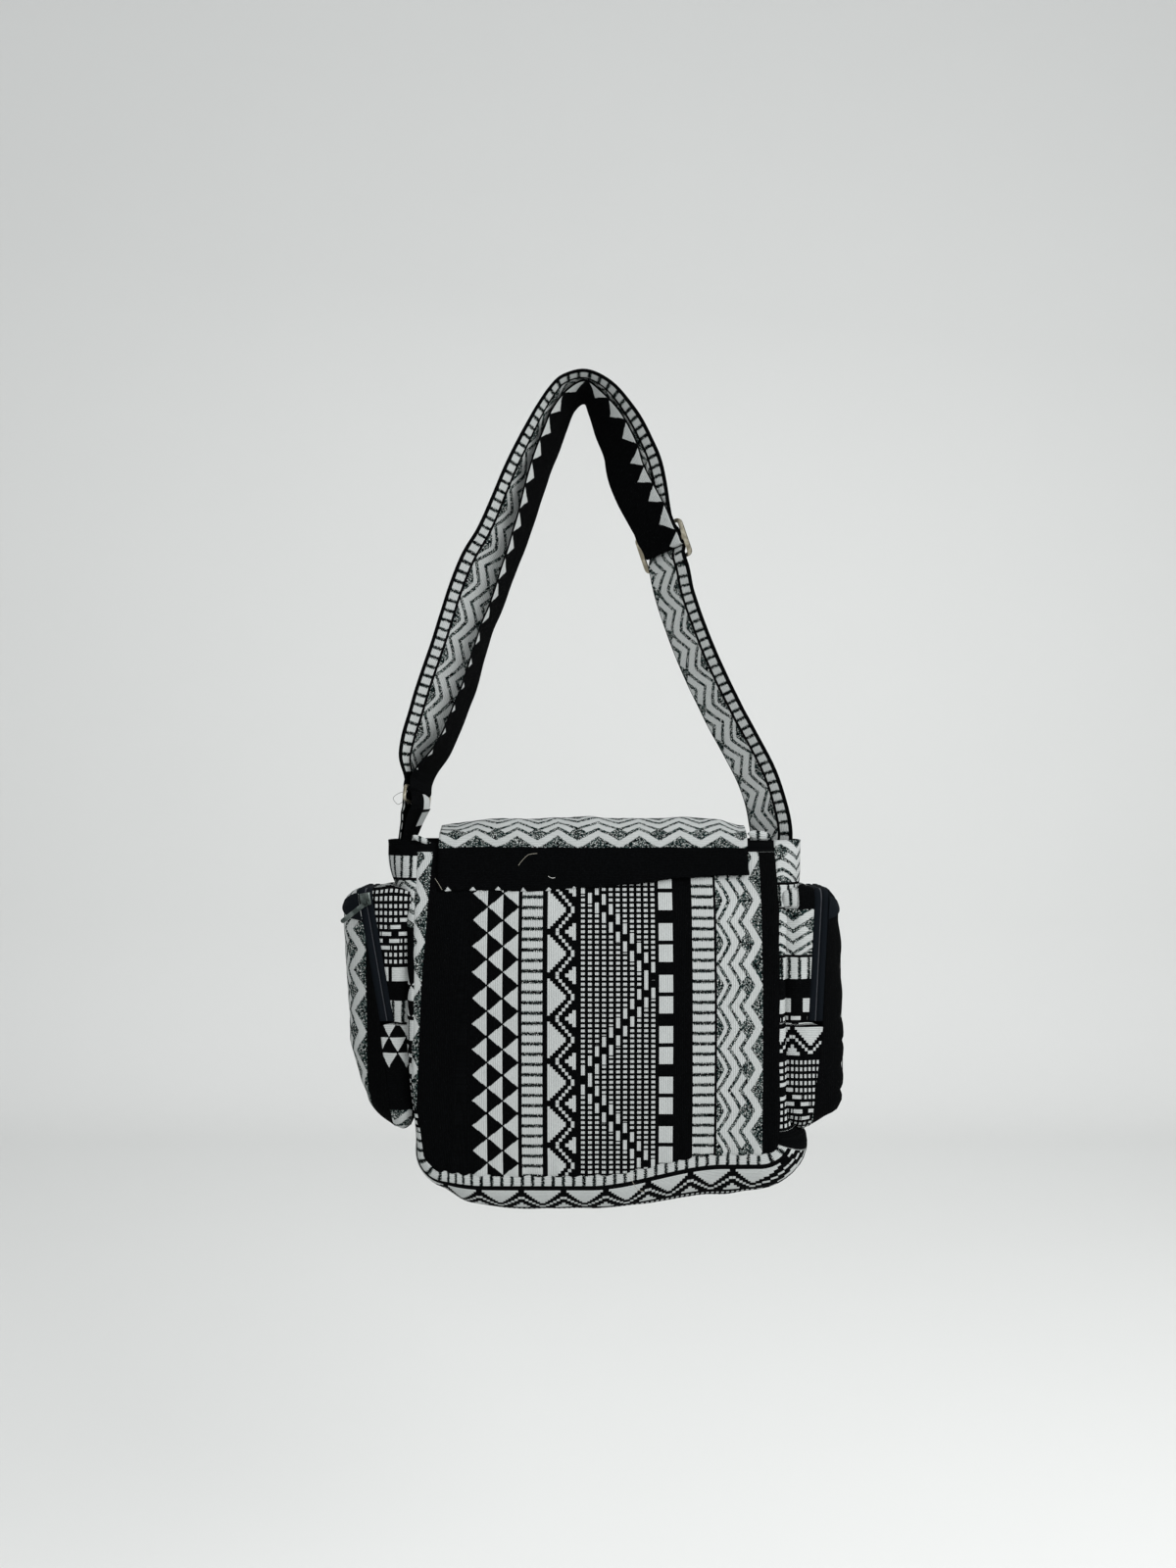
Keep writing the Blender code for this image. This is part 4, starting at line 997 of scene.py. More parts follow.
def outline_half_width(z):
    below_top = POCKET_TOP_Z - z
    above_base = z - POCKET_BASE_Z
    if below_top < POCKET_TOP_RADIUS:
        part = POCKET_TOP_RADIUS - max(below_top, 0.0)
        return POCKET_HALF - POCKET_TOP_RADIUS + sqrt(POCKET_TOP_RADIUS ** 2 - part ** 2)
    if above_base < POCKET_BASE_RADIUS:
        part = POCKET_BASE_RADIUS - max(above_base, 0.0)
        return POCKET_HALF - POCKET_BASE_RADIUS + sqrt(POCKET_BASE_RADIUS ** 2 - part ** 2)
    return POCKET_HALF


def gusset_reach(side, y, z):
    """How far the gusset stands out from the panel's edge, at y and z."""
    drop, distance = seam_place(side, z)
    v = clamp(drop / PANEL_HEIGHT)
    near = back_y(v)
    far = FRONT_Y
    level = clamp((near + far - 2 * y) / (far - near), -0.97, 0.97)
    return table(GUSSET_BULGE, distance / SEAM_LENGTH) * sqrt(1 - level ** 2)


def zip_reach(reach, z):
    """Distance of the zip's middle line from the panel's edge at a height."""
    top, end, foot = reach
    if z >= ZIP_END_Z:
        return lerp(end, top, (z - ZIP_END_Z) / (POCKET_TOP_Z - ZIP_END_Z))
    return lerp(end, foot, (ZIP_END_Z - z) / (ZIP_END_Z - POCKET_BASE_Z))


class Pocket:
    """One side pocket: its side, the panel's edge beside it, its zip and dome, and its cloth.

    lobe is the top and foot of the tape's end on the face, and scallop the depth of the face's waves.
    """

    def __init__(self, prefix, side, edge_x, reach, dome, upper, lower, face, lobe, scallop):
        self.prefix = prefix
        self.side = side
        self.edge_x = edge_x
        self.reach = reach
        self.dome = dome
        self.upper = upper
        self.lower = lower
        self.face_cut = face
        self.lobe = lobe
        self.scallop = scallop

    def at(self, reach, y, z):
        return Vector((self.edge_x + self.side * reach, y, z))

    def middle(self):
        return self.at(0.010, POCKET_CENTRE_Y, (POCKET_TOP_Z + POCKET_BASE_Z) / 2)

    def wall(self, distance, share):
        y, z, out_y, out_z = pocket_outline(distance)
        base = gusset_reach(self.side, y, z) - 0.0006
        middle = zip_reach(self.reach, z)
        beyond = max(ZIP_START - distance, distance - ZIP_STOP)
        top = lerp(middle - BAND_HALF + 0.0006, middle + BAND_HALF + 0.0002, smooth(beyond / 0.005))
        span = max(top - base, 0.002)
        fold = 0.0011 * ruffle(distance * 0.8, share * span, self.side, 0.016)
        push = (0.0020 * sin(pi * share) ** 2 + fold * sin(pi * share)
                - 0.0012 * (1 - smooth(share * span / 0.003)))
        return self.at(base + span * share, y + out_y * push, z + out_z * push)

    def wall_cut(self, distance, share, point):
        front = distance < POCKET_LENGTH / 2
        from_foot = distance if front else POCKET_LENGTH - distance
        below_zip = from_foot < ZIP_START - 0.002
        start, way, along, stretch = self.lower if below_zip else self.upper
        across = ZIP_START - (from_foot if below_zip else distance)
        reach = abs(point.x - self.edge_x)
        if self.side > 0 and front and point.z > RIGHT_COLLAR_Z and reach < COLLAR_REACH:
            return RIGHT_GUSSET_CUT[0] + point.z, RIGHT_GUSSET_CUT[1] + COLLAR_STRETCH * reach
        return start + way * across, along + stretch * reach

    def tape(self, share, distance, low, high, middle):
        """Place on a tape between two reaches. Its cloth rolls up over the coil towards the middle."""
        y, z, out_y, out_z = pocket_outline(distance)
        near = 1 - abs(share - middle)
        push = -0.0007 + 0.0017 * smooth(near / 0.55) - 0.0014 * smooth((near - 0.8) / 0.2)
        return self.at(zip_reach(self.reach, z) + lerp(low, high, share), y + out_y * push, z + out_z * push)

    def face(self, distance, ring):
        y_rim, z_rim, out_y, out_z = pocket_outline(distance)
        middle_z = (POCKET_TOP_Z + POCKET_BASE_Z) / 2
        flat = POCKET_HEIGHT / 2 - POCKET_HALF
        spine_z = middle_z + clamp(z_rim - middle_z, -flat, flat)
        y = lerp(POCKET_CENTRE_Y, y_rim, ring)
        z = lerp(spine_z, z_rim, ring)
        level = abs(y - POCKET_CENTRE_Y) / outline_half_width(z)
        swell = table(self.dome, POCKET_TOP_Z - z) * (1 - clamp(level) ** 2.5)
        low = smooth((POCKET_TOP_Z - z - 0.09) / 0.03)
        swell -= self.scallop * low * (1 - abs(sin(z * 155 + 0.4))) ** 2 * (1 - clamp(level) ** 4)
        dent = 0.0012 * ruffle(y, z, 5.0 + self.side, 0.020) * (1 - clamp(level) ** 4)
        beyond = max(ZIP_START - distance, distance - ZIP_STOP)
        with_zip = 1 - smooth(beyond / 0.005)
        rim = BAND_HALF - 0.0006 * with_zip
        return self.at(zip_reach(self.reach, z) + rim + swell + dent, y, z)

    def face_at(self, share, z, proud):
        """Place on the near half of the face that stands out by a share of the dome there."""
        dome = table(self.dome, POCKET_TOP_Z - z)
        level = (1 - clamp(share, 0.0, 0.995)) ** 0.4
        y = POCKET_CENTRE_Y - level * outline_half_width(z) - proud * level
        return self.at(zip_reach(self.reach, z) + BAND_HALF + dome * share + proud * (1 - level) * 2, y, z)

    def cut_face(self, point):
        start, way, along, border = self.face_cut
        rise = (point.x - border) * self.side
        peak = (zip_reach(self.reach, point.z) + BAND_HALF + table(self.dome, POCKET_TOP_Z - point.z)
                + (self.edge_x - border) * self.side)
        turned = rise if point.y < POCKET_CENTRE_Y else 2 * peak - rise
        over = 0.8 * max(point.y - POCKET_CENTRE_Y + 0.0185, 0.0)
        return start + way * (0.85 * turned + over), along - point.z


POCKETS = (
    Pocket("left", -1, PANEL_LEFT, LEFT_ZIP_REACH, LEFT_DOME, LEFT_UPPER_CUT, LEFT_LOWER_CUT,
           (0.0, -1, -0.0071, -0.1726), (-0.4250, -0.4475), 0.0),
    Pocket("right", 1, PANEL_RIGHT, RIGHT_ZIP_REACH, RIGHT_DOME, RIGHT_UPPER_CUT, RIGHT_LOWER_CUT,
           (0.0060, 1, 0.0, 0.1990), (-0.4275, -0.4460), 0.0022),
)


class BAG_OT_pockets(bpy.types.Operator):
    """Walls and domed faces of the two side pockets"""
    bl_idname = "bag.pockets"
    bl_label = "Side pockets"

    def execute(self, context):
        thickness = context.scene.bag_cloth.thickness
        for pocket in POCKETS:
            stations = steps_between(0.0, ZIP_START - 0.005, 44)
            stations += steps_between(ZIP_START - 0.005, ZIP_START, 5)[1:]
            stations += steps_between(ZIP_START, ZIP_STOP, 110)[1:]
            stations += [POCKET_LENGTH - d for d in reversed(stations) if d < ZIP_START]
            bm = grid(steps_between(0.0, 1.0, 14), stations, lambda share, d: pocket.wall(d, share),
                      lambda share, d, p: pocket.wall_cut(d, share, p), pocket.middle())
            piece = link_mesh(f"{pocket.prefix}_wall_cloth", bm, LOOKS["body"], "bag",
                              (f"{pocket.prefix}_pocket_wall",))
            thicken(piece, thickness)
            self.add_face(pocket, thickness)
        return {"FINISHED"}

    def add_face(self, pocket, thickness):
        rims = steps_between(0.0, POCKET_LENGTH, 150)
        rings = [0.02, 0.12, 0.24, 0.36, 0.48, 0.58, 0.67, 0.75, 0.82, 0.88, 0.93, 0.97, 1.0]
        bm = grid(rims, rings, lambda d, ring: pocket.face(d, ring), lambda d, ring, p: pocket.cut_face(p),
                  pocket.middle(), True)
        bmesh.ops.holes_fill(bm, edges=[e for e in bm.edges if e.is_boundary and
                                        all(abs(v.co.y - POCKET_CENTRE_Y) < 0.002 for v in e.verts)])
        piece = link_mesh(f"{pocket.prefix}_face_cloth", bm, LOOKS["body"], "bag",
                          (f"{pocket.prefix}_pocket_face",))
        thicken(piece, thickness)


class BAG_OT_zips(bpy.types.Operator):
    """Tapes and coils of the pockets' zips, and their sliders and pulls"""
    bl_idname = "bag.zips"
    bl_label = "Zips"

    def execute(self, context):
        for pocket in POCKETS:
            along = steps_between(ZIP_START, ZIP_STOP, 120)
            for name, low, high, middle in (("inner", -BAND_HALF - TAPE_TUCK, -COIL_GAP, 1.0),
                                            ("outer", COIL_GAP, BAND_HALF + TAPE_TUCK, 0.0)):
                bm = grid(steps_between(0.0, 1.0, 12), along,
                          lambda share, d: pocket.tape(share, d, low, high, middle),
                          lambda share, d, p: (share * (high - low), d), pocket.middle())
                piece = link_mesh(f"{pocket.prefix}_{name}_tape", bm, LOOKS["tape"], "bag",
                                  (f"{pocket.prefix}_zip_{name}_tape",))
                thicken(piece, TAPE_THICK)
            self.add_lobe(pocket)
            self.add_coil(context, pocket)
            metal = LOOKS["gunmetal"]
            soften(f"{pocket.prefix}_zip_slider", f"{pocket.prefix}_slider", 0.00045, metal)
            soften(f"{pocket.prefix}_zip_pull", f"{pocket.prefix}_pull", 0.00038, metal)
        return {"FINISHED"}

    def add_lobe(self, pocket):
        """End of the zip's tape, spread on the top of the pocket's face."""
        top, foot = pocket.lobe
        middle = (top + foot) / 2
        half = (top - foot) / 2

        def place(share, row):
            width = sqrt(max(1 - (2 * row - 1) ** 2, 0.0004))
            return pocket.face_at(share * width * 0.97, middle + half * (2 * row - 1), 0.0011)

        bm = grid(steps_between(0.0, 1.0, 14), steps_between(0.0, 1.0, 20), place,
                  lambda share, row, p: (share * 0.014, row * 0.02), pocket.middle())
        piece = link_mesh(f"{pocket.prefix}_tape_end", bm, LOOKS["tape"], "bag", ())
        thicken(piece, TAPE_THICK)

    def add_coil(self, context, pocket):
        """Two rows of coil loops that mesh."""
        pitch = context.scene.bag_zips.pitch
        count = int((ZIP_STOP - ZIP_START) / pitch)
        bm = bmesh.new()
        for k in range(2 * count):
            distance = ZIP_START + (k + 0.5) * pitch / 2
            hand = -1 if k % 2 else 1
            y, z, out_y, out_z = pocket_outline(distance)
            ahead = pocket_outline(distance + 0.0005)
            along = Vector((0.0, ahead[0] - y, ahead[1] - z)).normalized()
            out = Vector((0.0, out_y, out_z))
            centre = pocket.at(zip_reach(pocket.reach, z) + hand * 0.00055, y, z) - out * 0.0003
            across = Vector((1.0, 0.0, 0.0))
            verts = bmesh.ops.create_uvsphere(bm, u_segments=6, v_segments=4, radius=1.0)["verts"]
            turn = frame_matrix(centre, along * 0.00042, out * 0.00062, across * 0.00135)
            bmesh.ops.transform(bm, matrix=turn, verts=verts)
        link_mesh(f"{pocket.prefix}_coil", bm, LOOKS["coil"], "bag",
                  (f"{pocket.prefix}_zip_teeth",))


def soften(node, body, width, materials):
    """A rounded copy of a small hard piece stands for it."""
    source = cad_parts[node]
    bm = bmesh.new()
    bm.from_mesh(source.data)
    bmesh.ops.transform(bm, matrix=source.matrix_world, verts=bm.verts)
    bmesh.ops.remove_doubles(bm, verts=bm.verts, dist=0.00002)
    bmesh.ops.dissolve_limit(bm, angle_limit=radians(2), verts=bm.verts, edges=bm.edges)
    piece = link_mesh(f"{node}_metal", bm, materials, body, (node,))
    piece.data.set_sharp_from_angle(angle=radians(60))
    rounding = piece.modifiers.new("Rounding", "BEVEL")
    rounding.width = width
    rounding.segments = 3
    rounding.limit_method = "ANGLE"
    rounding.angle_limit = radians(40)
    rounding.use_clamp_overlap = True
    return piece


# Strap

def lie_vector(lie, turn):
    flat = cos(radians(turn))
    return Vector((flat * cos(radians(lie)), -sin(radians(turn)), flat * sin(radians(lie))))


def bar_frame(lie, turn, aim):
    """Width, up and outward axes of a bar that the strap passes round."""
    width = lie_vector(lie, turn)
    up = (aim - width * aim.dot(width)).normalized()
    return width, up, width.cross(up)


def run_stations(run):
    return [(Vector(item[:3]), lie_vector(item[3], item[4])) for item in run]


def smooth_stations(stations, per_span):
    places = catmull([place for place, _ in stations], per_span)
    widths = catmull([width for _, width in stations], per_span)
    return list(zip(places, widths))


EDGE_BORDER = 0.003
SIDE_STOPS = (0.0009, 0.0029, 0.0031, 0.0060, 0.0105, 0.0109, 0.0150, 0.0190, 0.0230, 0.0280, 0.0330, 0.0371)


def band_section(width, thickness):
    """Outline of a folded band: distance from its outer edge, depth, and side, which is 0 at a fold."""
    half = width / 2
    edge = thickness / 2
    sides = {}
    for side in (1, -1):
        sides[side] = []
        for stop in SIDE_STOPS:
            from_edge = stop * width / STRAP_WIDTH
            t = (half - from_edge) / (half - edge)
            sides[side].append((from_edge, side * edge * (1 - 0.28 * abs(t) ** 6), side))
    fold = ((0.35 * edge, 0.55 * edge), (0.0, 0.0), (0.35 * edge, -0.55 * edge))
    far = [(width - inset, depth, 0) for inset, depth in fold]
    near = [(inset, -depth, 0) for inset, depth in fold]
    return sides[1] + far + sides[-1][::-1] + near


def no_slip(place):
    return 0.0


def left_branch_slip(place):
    """Low down on the left branch the fold takes in more, so that only the triangles' tips show."""
    return 0.0065 * smooth((-0.17 - place.z) / 0.08) if place.x < 0 else 0.0


def band(name, stations, width, thickness, cuts, materials, node, ruffled=0.0005, plain_reach=0.0, spread=0.0,
         slip=no_slip):
    """A folded strap of cloth: each side is cut from its own place in the cloth."""
    last = len(stations) - 1
    section = band_section(width, thickness)
    bm = bmesh.new()
    layer = bm.loops.layers.uv.new("Cloth")
    rings = []
    run = 0.0
    for k, (place, side) in enumerate(stations):
        tangent = (stations[min(k + 1, last)][0] - stations[max(k - 1, 0)][0]).normalized()
        edge = (side - tangent * side.dot(tangent)).normalized()
        out = edge.cross(tangent)
        if k:
            run += (place - stations[k - 1][0]).length
        ring = []
        for from_edge, depth, face in section:
            wider = 1 + spread * (1 - smooth((place - RING_CENTRE).length / RING_SPREAD_REACH))
            across = (width / 2 - from_edge) * wider * (1 + 0.014 * ruffle(run, 0, 7.0, 0.02))
            wave = ruffled * ruffle(run * 0.8, across * 2, 3.0, 0.016)
            ring.append((bm.verts.new(place + edge * across + out * (depth + wave)), from_edge, face, run))
        rings.append(ring)
    count = len(section)
    for low, high in zip(rings, rings[1:]):
        for j in range(count):
            n = (j + 1) % count
            corners = (low[j], low[n], high[n], high[j])
            face = bm.faces.new([corner[0] for corner in corners])
            sides = {corner[2] for corner in corners}
            side = sides.pop() if len(sides) == 1 else 0
            border = EDGE_BORDER if side == 1 else 0.0
            near_ring = (low[0][0].co - RING_CENTRE).length < plain_reach
            plain = near_ring or min(corner[1] for corner in corners) < border
            start, way, along = cuts[0] if plain else cuts[side]
            for loop, corner in zip(face.loops, corners):
                slipped = slip(corner[0].co) if side == -1 and not plain else 0.0
                loop[layer].uv = (start - slipped + way * corner[1], corner[3] + along)
    for ring in (rings[0], rings[-1]):
        bm.faces.new([corner[0] for corner in ring])
    bmesh.ops.recalc_face_normals(bm, faces=bm.faces)
    return link_mesh(name, bm, materials, "bag", (node,))


def strap_stations():
    """The whole route: mouth, adjuster, over the top, round the ring, back up to the adjuster."""
    half = STRAP_THICK / 2
    ring_width, ring_up, ring_out = bar_frame(*RING_LIE, Vector((0.0, 0.0, 1.0)))
    turn = RING_WIRE / 2 + STRAP_CLEARANCE + half

    def at_ring(out, up):
        return RING_CENTRE + ring_out * out + ring_up * up, ring_width

    round_ring = [at_ring(turn * cos(pi * k / 12), -turn * sin(pi * k / 12)) for k in range(13)]
    slide_width, slide_up, slide_out = bar_frame(*SLIDE_LIE, SLIDE_AIM)
    near = slide_out if slide_out.y < 0 else -slide_out
    layer = SLIDE_THICK / 2 + STRAP_CLEARANCE + half
    outer_layer = layer + SLIDE_TILT_ROOM
    pitch = SLIDE_BAR + SLIDE_SLOT
    pile = STRAP_THICK + STRAP_CLEARANCE

    def at_slide(depth, up):
        return SLIDE_CENTRE - near * depth + slide_up * up, slide_width

    far_side = layer + pile
    bar_half = SLIDE_BAR / 2
    half_pass = [(far_side, 0.0)]
    half_pass += [(far_side * cos(a), bar_half + far_side * sin(a)) for a in (0.42, 1.0)]
    half_pass += [(0.0, pitch / 2 + 0.0017), (-outer_layer * 0.72, pitch - 0.0032),
                  (-outer_layer, pitch + 0.002), (-outer_layer, pitch + 0.006)]
    through = [at_slide(depth, -up) for depth, up in reversed(half_pass[1:])]
    through += [at_slide(depth, up) for depth, up in half_pass]
    in_front = outer_layer + pile
    ending = [at_slide(-in_front - 0.0012, pitch + 0.006), at_slide(-in_front - 0.0006, pitch - 0.002),
              at_slide(-in_front + 0.0006, pitch * 0.5), at_slide(-layer - 0.0006, bar_half + 0.003),
              at_slide(-layer, bar_half)]
    ending += [at_slide(-layer * cos(pi * k / 8), -bar_half - layer * sin(pi * k / 8)) for k in range(9)]
    ending += [at_slide(layer * 0.96, bar_half * 0.6), at_slide(layer * 0.92, bar_half + 0.001)]

    stations = smooth_stations(run_stations(ANCHOR_RUN) + [through[0]], 8)[:-1]
    stations += smooth_stations(through, 3)[:-1]
    down_left = run_stations(OUTER_RUN)
    stations += smooth_stations([through[-1]] + down_left + [at_ring(turn, 0.0085), round_ring[0]], 6)[:-1]
    stations += round_ring[:-1]
    up_right = run_stations(INNER_RUN)
    stations += smooth_stations([round_ring[-1], at_ring(-turn, 0.008)] + up_right + [ending[0]], 6)[:-1]
    stations += smooth_stations(ending, 2)
    return stations


class BAG_OT_strap(bpy.types.Operator):
    """Doubled strap, the tab that holds the ring, the ring and the adjuster"""
    bl_idname = "bag.strap"
    bl_label = "Strap"

    def execute(self, context):
        band("strap_band", strap_stations(), STRAP_WIDTH, STRAP_THICK, STRAP_CUTS, LOOKS["strap"], "strap",
             plain_reach=0.0235, slip=left_branch_slip)
        self.add_tab()
        soften("strap_slider", "adjuster", 0.0009, LOOKS["brass"])
        soften("strap_ring", "ring", 0.0001, LOOKS["brass"])
        return {"FINISHED"}

    def add_tab(self):
        """Cloth tab from inside the mouth's left end, round the ring's lower bar and back."""
        width, up, out = bar_frame(*RING_LIE, Vector((0.0, 0.0, 1.0)))
        half = TAB_THICK / 2
        bar = RING_CENTRE - up * (RING_INNER_HEIGHT + RING_WIRE)
        tall = RING_WIRE / 2 + 0.0003 + half
        wide = RING_WIRE / 2 + RING_SWING_ROOM + half
        low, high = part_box("ring_tab")
        sewn = low[0] + half + 0.0003
        pair = TAB_THICK + STRAP_CLEARANCE
        sewn_width = (Vector((0.0, -TAB_TURN, 0.0)) + width).normalized()
        middle_y = (back_y(0.0) + FRONT_Y) / 2
        foot_z = low[2]
        outward = [(Vector((sewn, middle_y, foot_z)), sewn_width),
                   (Vector((sewn + 0.0004, middle_y, MOUTH_Z - 0.002)), sewn_width),
                   (lerp(Vector((sewn + 0.001, middle_y, MOUTH_Z)), bar + out * wide, 0.55),
                    (sewn_width + width) / 2),
                   (bar + out * wide - up * 0.003, width)]
        back = [(bar - out * wide - up * 0.003, width),
                (lerp(Vector((sewn + pair * 1.4, middle_y, MOUTH_Z)), bar - out * wide, 0.45),
                 (sewn_width + width) / 2),
                (Vector((sewn + pair + 0.0012, middle_y, MOUTH_Z - 0.003)), sewn_width),
                (Vector((sewn + pair, middle_y, foot_z + 0.001)), sewn_width)]
        rise = tall + TAB_BUNCH
        loop = [(bar + out * wide * cos(pi * k / 10) + up * rise * sin(pi * k / 10), width)
                for k in range(11)]
        stations = smooth_stations(outward, 7)[:-1]
        stations += smooth_stations([outward[-1]] + loop + [back[0]], 1)[:-1]
        stations += smooth_stations(back, 7)
        band("tab_band", stations, TAB_WIDTH, TAB_THICK, TAB_CUTS, LOOKS["strap"], "ring_tab", 0.0009,
             spread=0.16)


# Loose threads

THREADS = {
    "flap_thread": ("beige", ((-0.0331, -0.0440, -0.3925), (-0.0400, -0.0460, -0.3935),
                              (-0.0450, -0.0465, -0.3980), (-0.0482, -0.0475, -0.4021))),
    "flap_fluff": ("white", ((-0.0240, -0.0480, -0.4110), (-0.0205, -0.0500, -0.4122),
                             (-0.0185, -0.0490, -0.4118))),
    "panel_thread": ("beige", ((-0.1165, -0.0420, -0.4130), (-0.1135, -0.0440, -0.4170),
                               (-0.1105, -0.0450, -0.4220))),
    "hem_fluff": ("white", ((-0.0790, -0.0430, -0.4225), (-0.0770, -0.0450, -0.4240),
                            (-0.0785, -0.0450, -0.4260), (-0.0800, -0.0440, -0.4262))),
    "foot_thread": ("beige", ((0.0390, -0.0540, -0.6500), (0.0440, -0.0560, -0.6560),
                              (0.0480, -0.0550, -0.6625), (0.0530, -0.0530, -0.6650))),
    "ring_thread": ("black", ((-0.1440, -0.0130, -0.3420), (-0.1500, -0.0180, -0.3440),
                              (-0.1540, -0.0190, -0.3480), (-0.1500, -0.0190, -0.3530),
                              (-0.1450, -0.0170, -0.3500), (-0.1420, -0.0150, -0.3530))),
}
THREAD_RADIUS = 0.00018


class BAG_OT_threads(bpy.types.Operator):
    """Loose ends of yarn"""
    bl_idname = "bag.threads"
    bl_label = "Loose threads"

    def execute(self, context):
        for name, (tone, points) in THREADS.items():
            curve = bpy.data.curves.new(name, "CURVE")
            curve.dimensions = "3D"
            curve.bevel_depth = THREAD_RADIUS
            curve.bevel_resolution = 2
            curve.use_fill_caps = True
            spline = curve.splines.new("POLY")
            chain = catmull([Vector(point) for point in points], 6)
            spline.points.add(len(chain) - 1)
            for point, place in zip(spline.points, chain):
                point.co = (*place, 1)
            obj = bpy.data.objects.new(name, curve)
            context.scene.collection.objects.link(obj)
            curve.materials.append(LOOKS["yarn"][tone])
            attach(obj, "bag")
        return {"FINISHED"}


# Stage

FLOOR_DROP = 0.55
FLOOR_REACH = 14.0
BACKDROP_Y = 2.2
BACKDROP_BEND = 0.5
BACKDROP_HEIGHT = 9.0
ROOM_LIGHT = 0.66
LAMPS = (
    ("window", (1.7, -1.5, 0.6), 1.6, 62.0),
    ("room", (-1.7, -1.7, 0.1), 2.0, 11.0),
    ("above", (0.2, 0.5, 1.6), 1.6, 14.0),
)
LAMP_AIM = Vector((0.0, 0.0, -0.45))
CAMERA_PLACE = (0.0083, -1.10, -0.336)


class BAG_OT_stage(bpy.types.Operator):
    """Pale floor and backdrop, soft light and the camera"""
    bl_idname = "bag.stage"
    bl_label = "Stage"

    def execute(self, context):
        looks = context.scene.bag_stage
        board = Board("pale_wall")
        tint = board.mix(board.grain(3.0), looks.wall, tuple(c * 0.985 for c in looks.wall))
        paint = board.surface(Base_Color=tint, Roughness=0.95)
        floor_z = CAD_BOX[0][2] - FLOOR_DROP
        bm = bmesh.new()
        profile = [(-FLOOR_REACH, floor_z), (BACKDROP_Y, floor_z)]
        for k in range(1, 9):
            turn = k * pi / 16
            profile.append((BACKDROP_Y + BACKDROP_BEND * sin(turn),
                            floor_z + BACKDROP_BEND - BACKDROP_BEND * cos(turn)))
        profile.append((BACKDROP_Y + BACKDROP_BEND, floor_z + BACKDROP_HEIGHT))
        rows = [[bm.verts.new((x, y, z)) for x in (-FLOOR_REACH, FLOOR_REACH)] for y, z in profile]
        for low, high in zip(rows, rows[1:]):
            bm.faces.new((low[0], low[1], high[1], high[0]))
        for face in bm.faces:
            face.smooth = True
        mesh = bpy.data.meshes.new("floor_and_backdrop")
        bm.to_mesh(mesh)
        bm.free()
        mesh.materials.append(paint)
        wall = bpy.data.objects.new("floor_and_backdrop", mesh)
        context.scene.collection.objects.link(wall)
        self.add_lights(context)
        self.add_camera(context, looks)
        return {"FINISHED"}

    def add_lights(self, context):
        world = bpy.data.worlds.new("soft_room")
        world.use_nodes = True
        sky = world.node_tree.nodes["Background"]
        sky.inputs["Color"].default_value = (0.95, 0.97, 0.98, 1)
        sky.inputs["Strength"].default_value = ROOM_LIGHT
        context.scene.world = world
        for name, place, size, power in LAMPS:
            lamp = bpy.data.lights.new(name, "AREA")
            lamp.size = size
            lamp.energy = power
            obj = bpy.data.objects.new(name, lamp)
            obj.location = place
            aim = LAMP_AIM - obj.location
            obj.rotation_euler = aim.to_track_quat("-Z", "Y").to_euler()
            context.scene.collection.objects.link(obj)

    def add_camera(self, context, looks):
        data = bpy.data.cameras.new("camera")
        data.sensor_fit = "VERTICAL"
        data.sensor_height = 24.0
        data.angle_y = looks.field
        data.clip_start = 0.01
        camera = bpy.data.objects.new("camera", data)
        camera.location = CAMERA_PLACE
        camera.rotation_euler = (pi / 2, 0.0, 0.0)
        context.scene.collection.objects.link(camera)
        context.scene.camera = camera
        context.scene.view_settings.view_transform = "Standard"


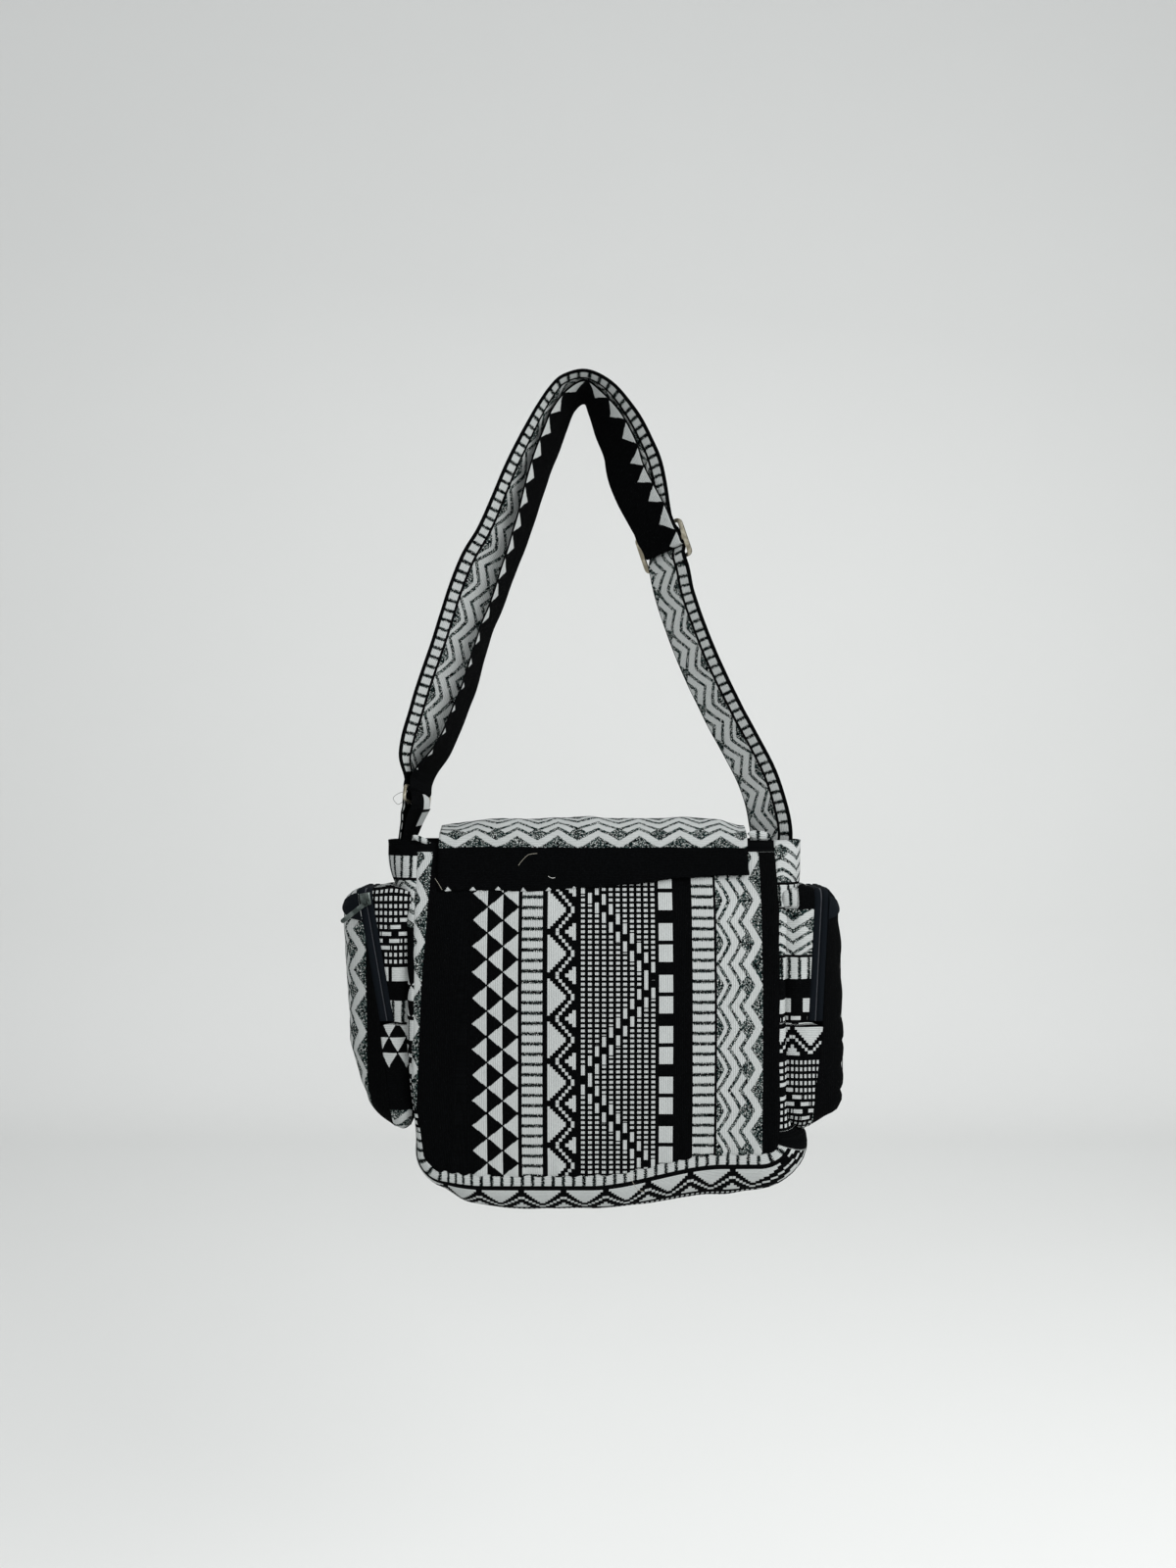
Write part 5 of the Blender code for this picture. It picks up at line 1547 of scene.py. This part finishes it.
class BAG_PT_panel(bpy.types.Panel):
    """Everything that makes the bag, in order"""
    bl_idname = "BAG_PT_panel"
    bl_label = "Crossbody bag"
    bl_space_type = "VIEW_3D"
    bl_region_type = "UI"
    bl_category = "Bag"

    def draw(self, context):
        for operator in OPERATORS:
            self.layout.operator(operator.bl_idname)
        for name in SETTINGS:
            group = getattr(context.scene, name)
            for key in group.__annotations__:
                self.layout.prop(group, key)


OPERATORS = (BAG_OT_body, BAG_OT_flap, BAG_OT_pockets, BAG_OT_zips, BAG_OT_strap, BAG_OT_threads,
             BAG_OT_stage)
SETTINGS = {"bag_cloth": ClothSettings, "bag_zips": ZipSettings, "bag_metal": MetalSettings,
            "bag_stage": StageSettings}
LOOKS = {}
YARNS = {"white": (0.75, 0.75, 0.72), "beige": (0.30, 0.28, 0.23), "black": (0.02, 0.02, 0.022)}
GUNMETAL_WORN = (0.17, 0.195, 0.185)
BRASS_WORN = (0.40, 0.375, 0.30)


def make_looks(scene):
    cloth = jacquard("jacquard_cloth")
    lining = lining_cloth()
    metal = scene.bag_metal
    gunmetal = worn_metal("gunmetal", metal.gunmetal, GUNMETAL_WORN)
    brass = worn_metal("antique_brass", metal.brass, BRASS_WORN)
    LOOKS.update({
        "body": (cloth, lining), "strap": (cloth,), "tape": (tape_cloth(), lining), "coil": (coil_plastic(),),
        "gunmetal": (gunmetal,), "brass": (brass,),
        "yarn": {tone: yarn_look(f"{tone}_yarn", color) for tone, color in YARNS.items()},
    })


def register():
    for item in (*SETTINGS.values(), *OPERATORS, BAG_PT_panel):
        bpy.utils.register_class(item)
    for name, group in SETTINGS.items():
        setattr(bpy.types.Scene, name, PointerProperty(type=group))


def unregister():
    for name in SETTINGS:
        delattr(bpy.types.Scene, name)
    for item in reversed((*SETTINGS.values(), *OPERATORS, BAG_PT_panel)):
        bpy.utils.unregister_class(item)


def main():
    register()
    make_looks(bpy.context.scene)
    bpy.ops.bag.body()
    bpy.ops.bag.flap()
    bpy.ops.bag.pockets()
    bpy.ops.bag.zips()
    bpy.ops.bag.strap()
    bpy.ops.bag.threads()
    bpy.ops.bag.stage()


if __name__ == "__main__":
    main()
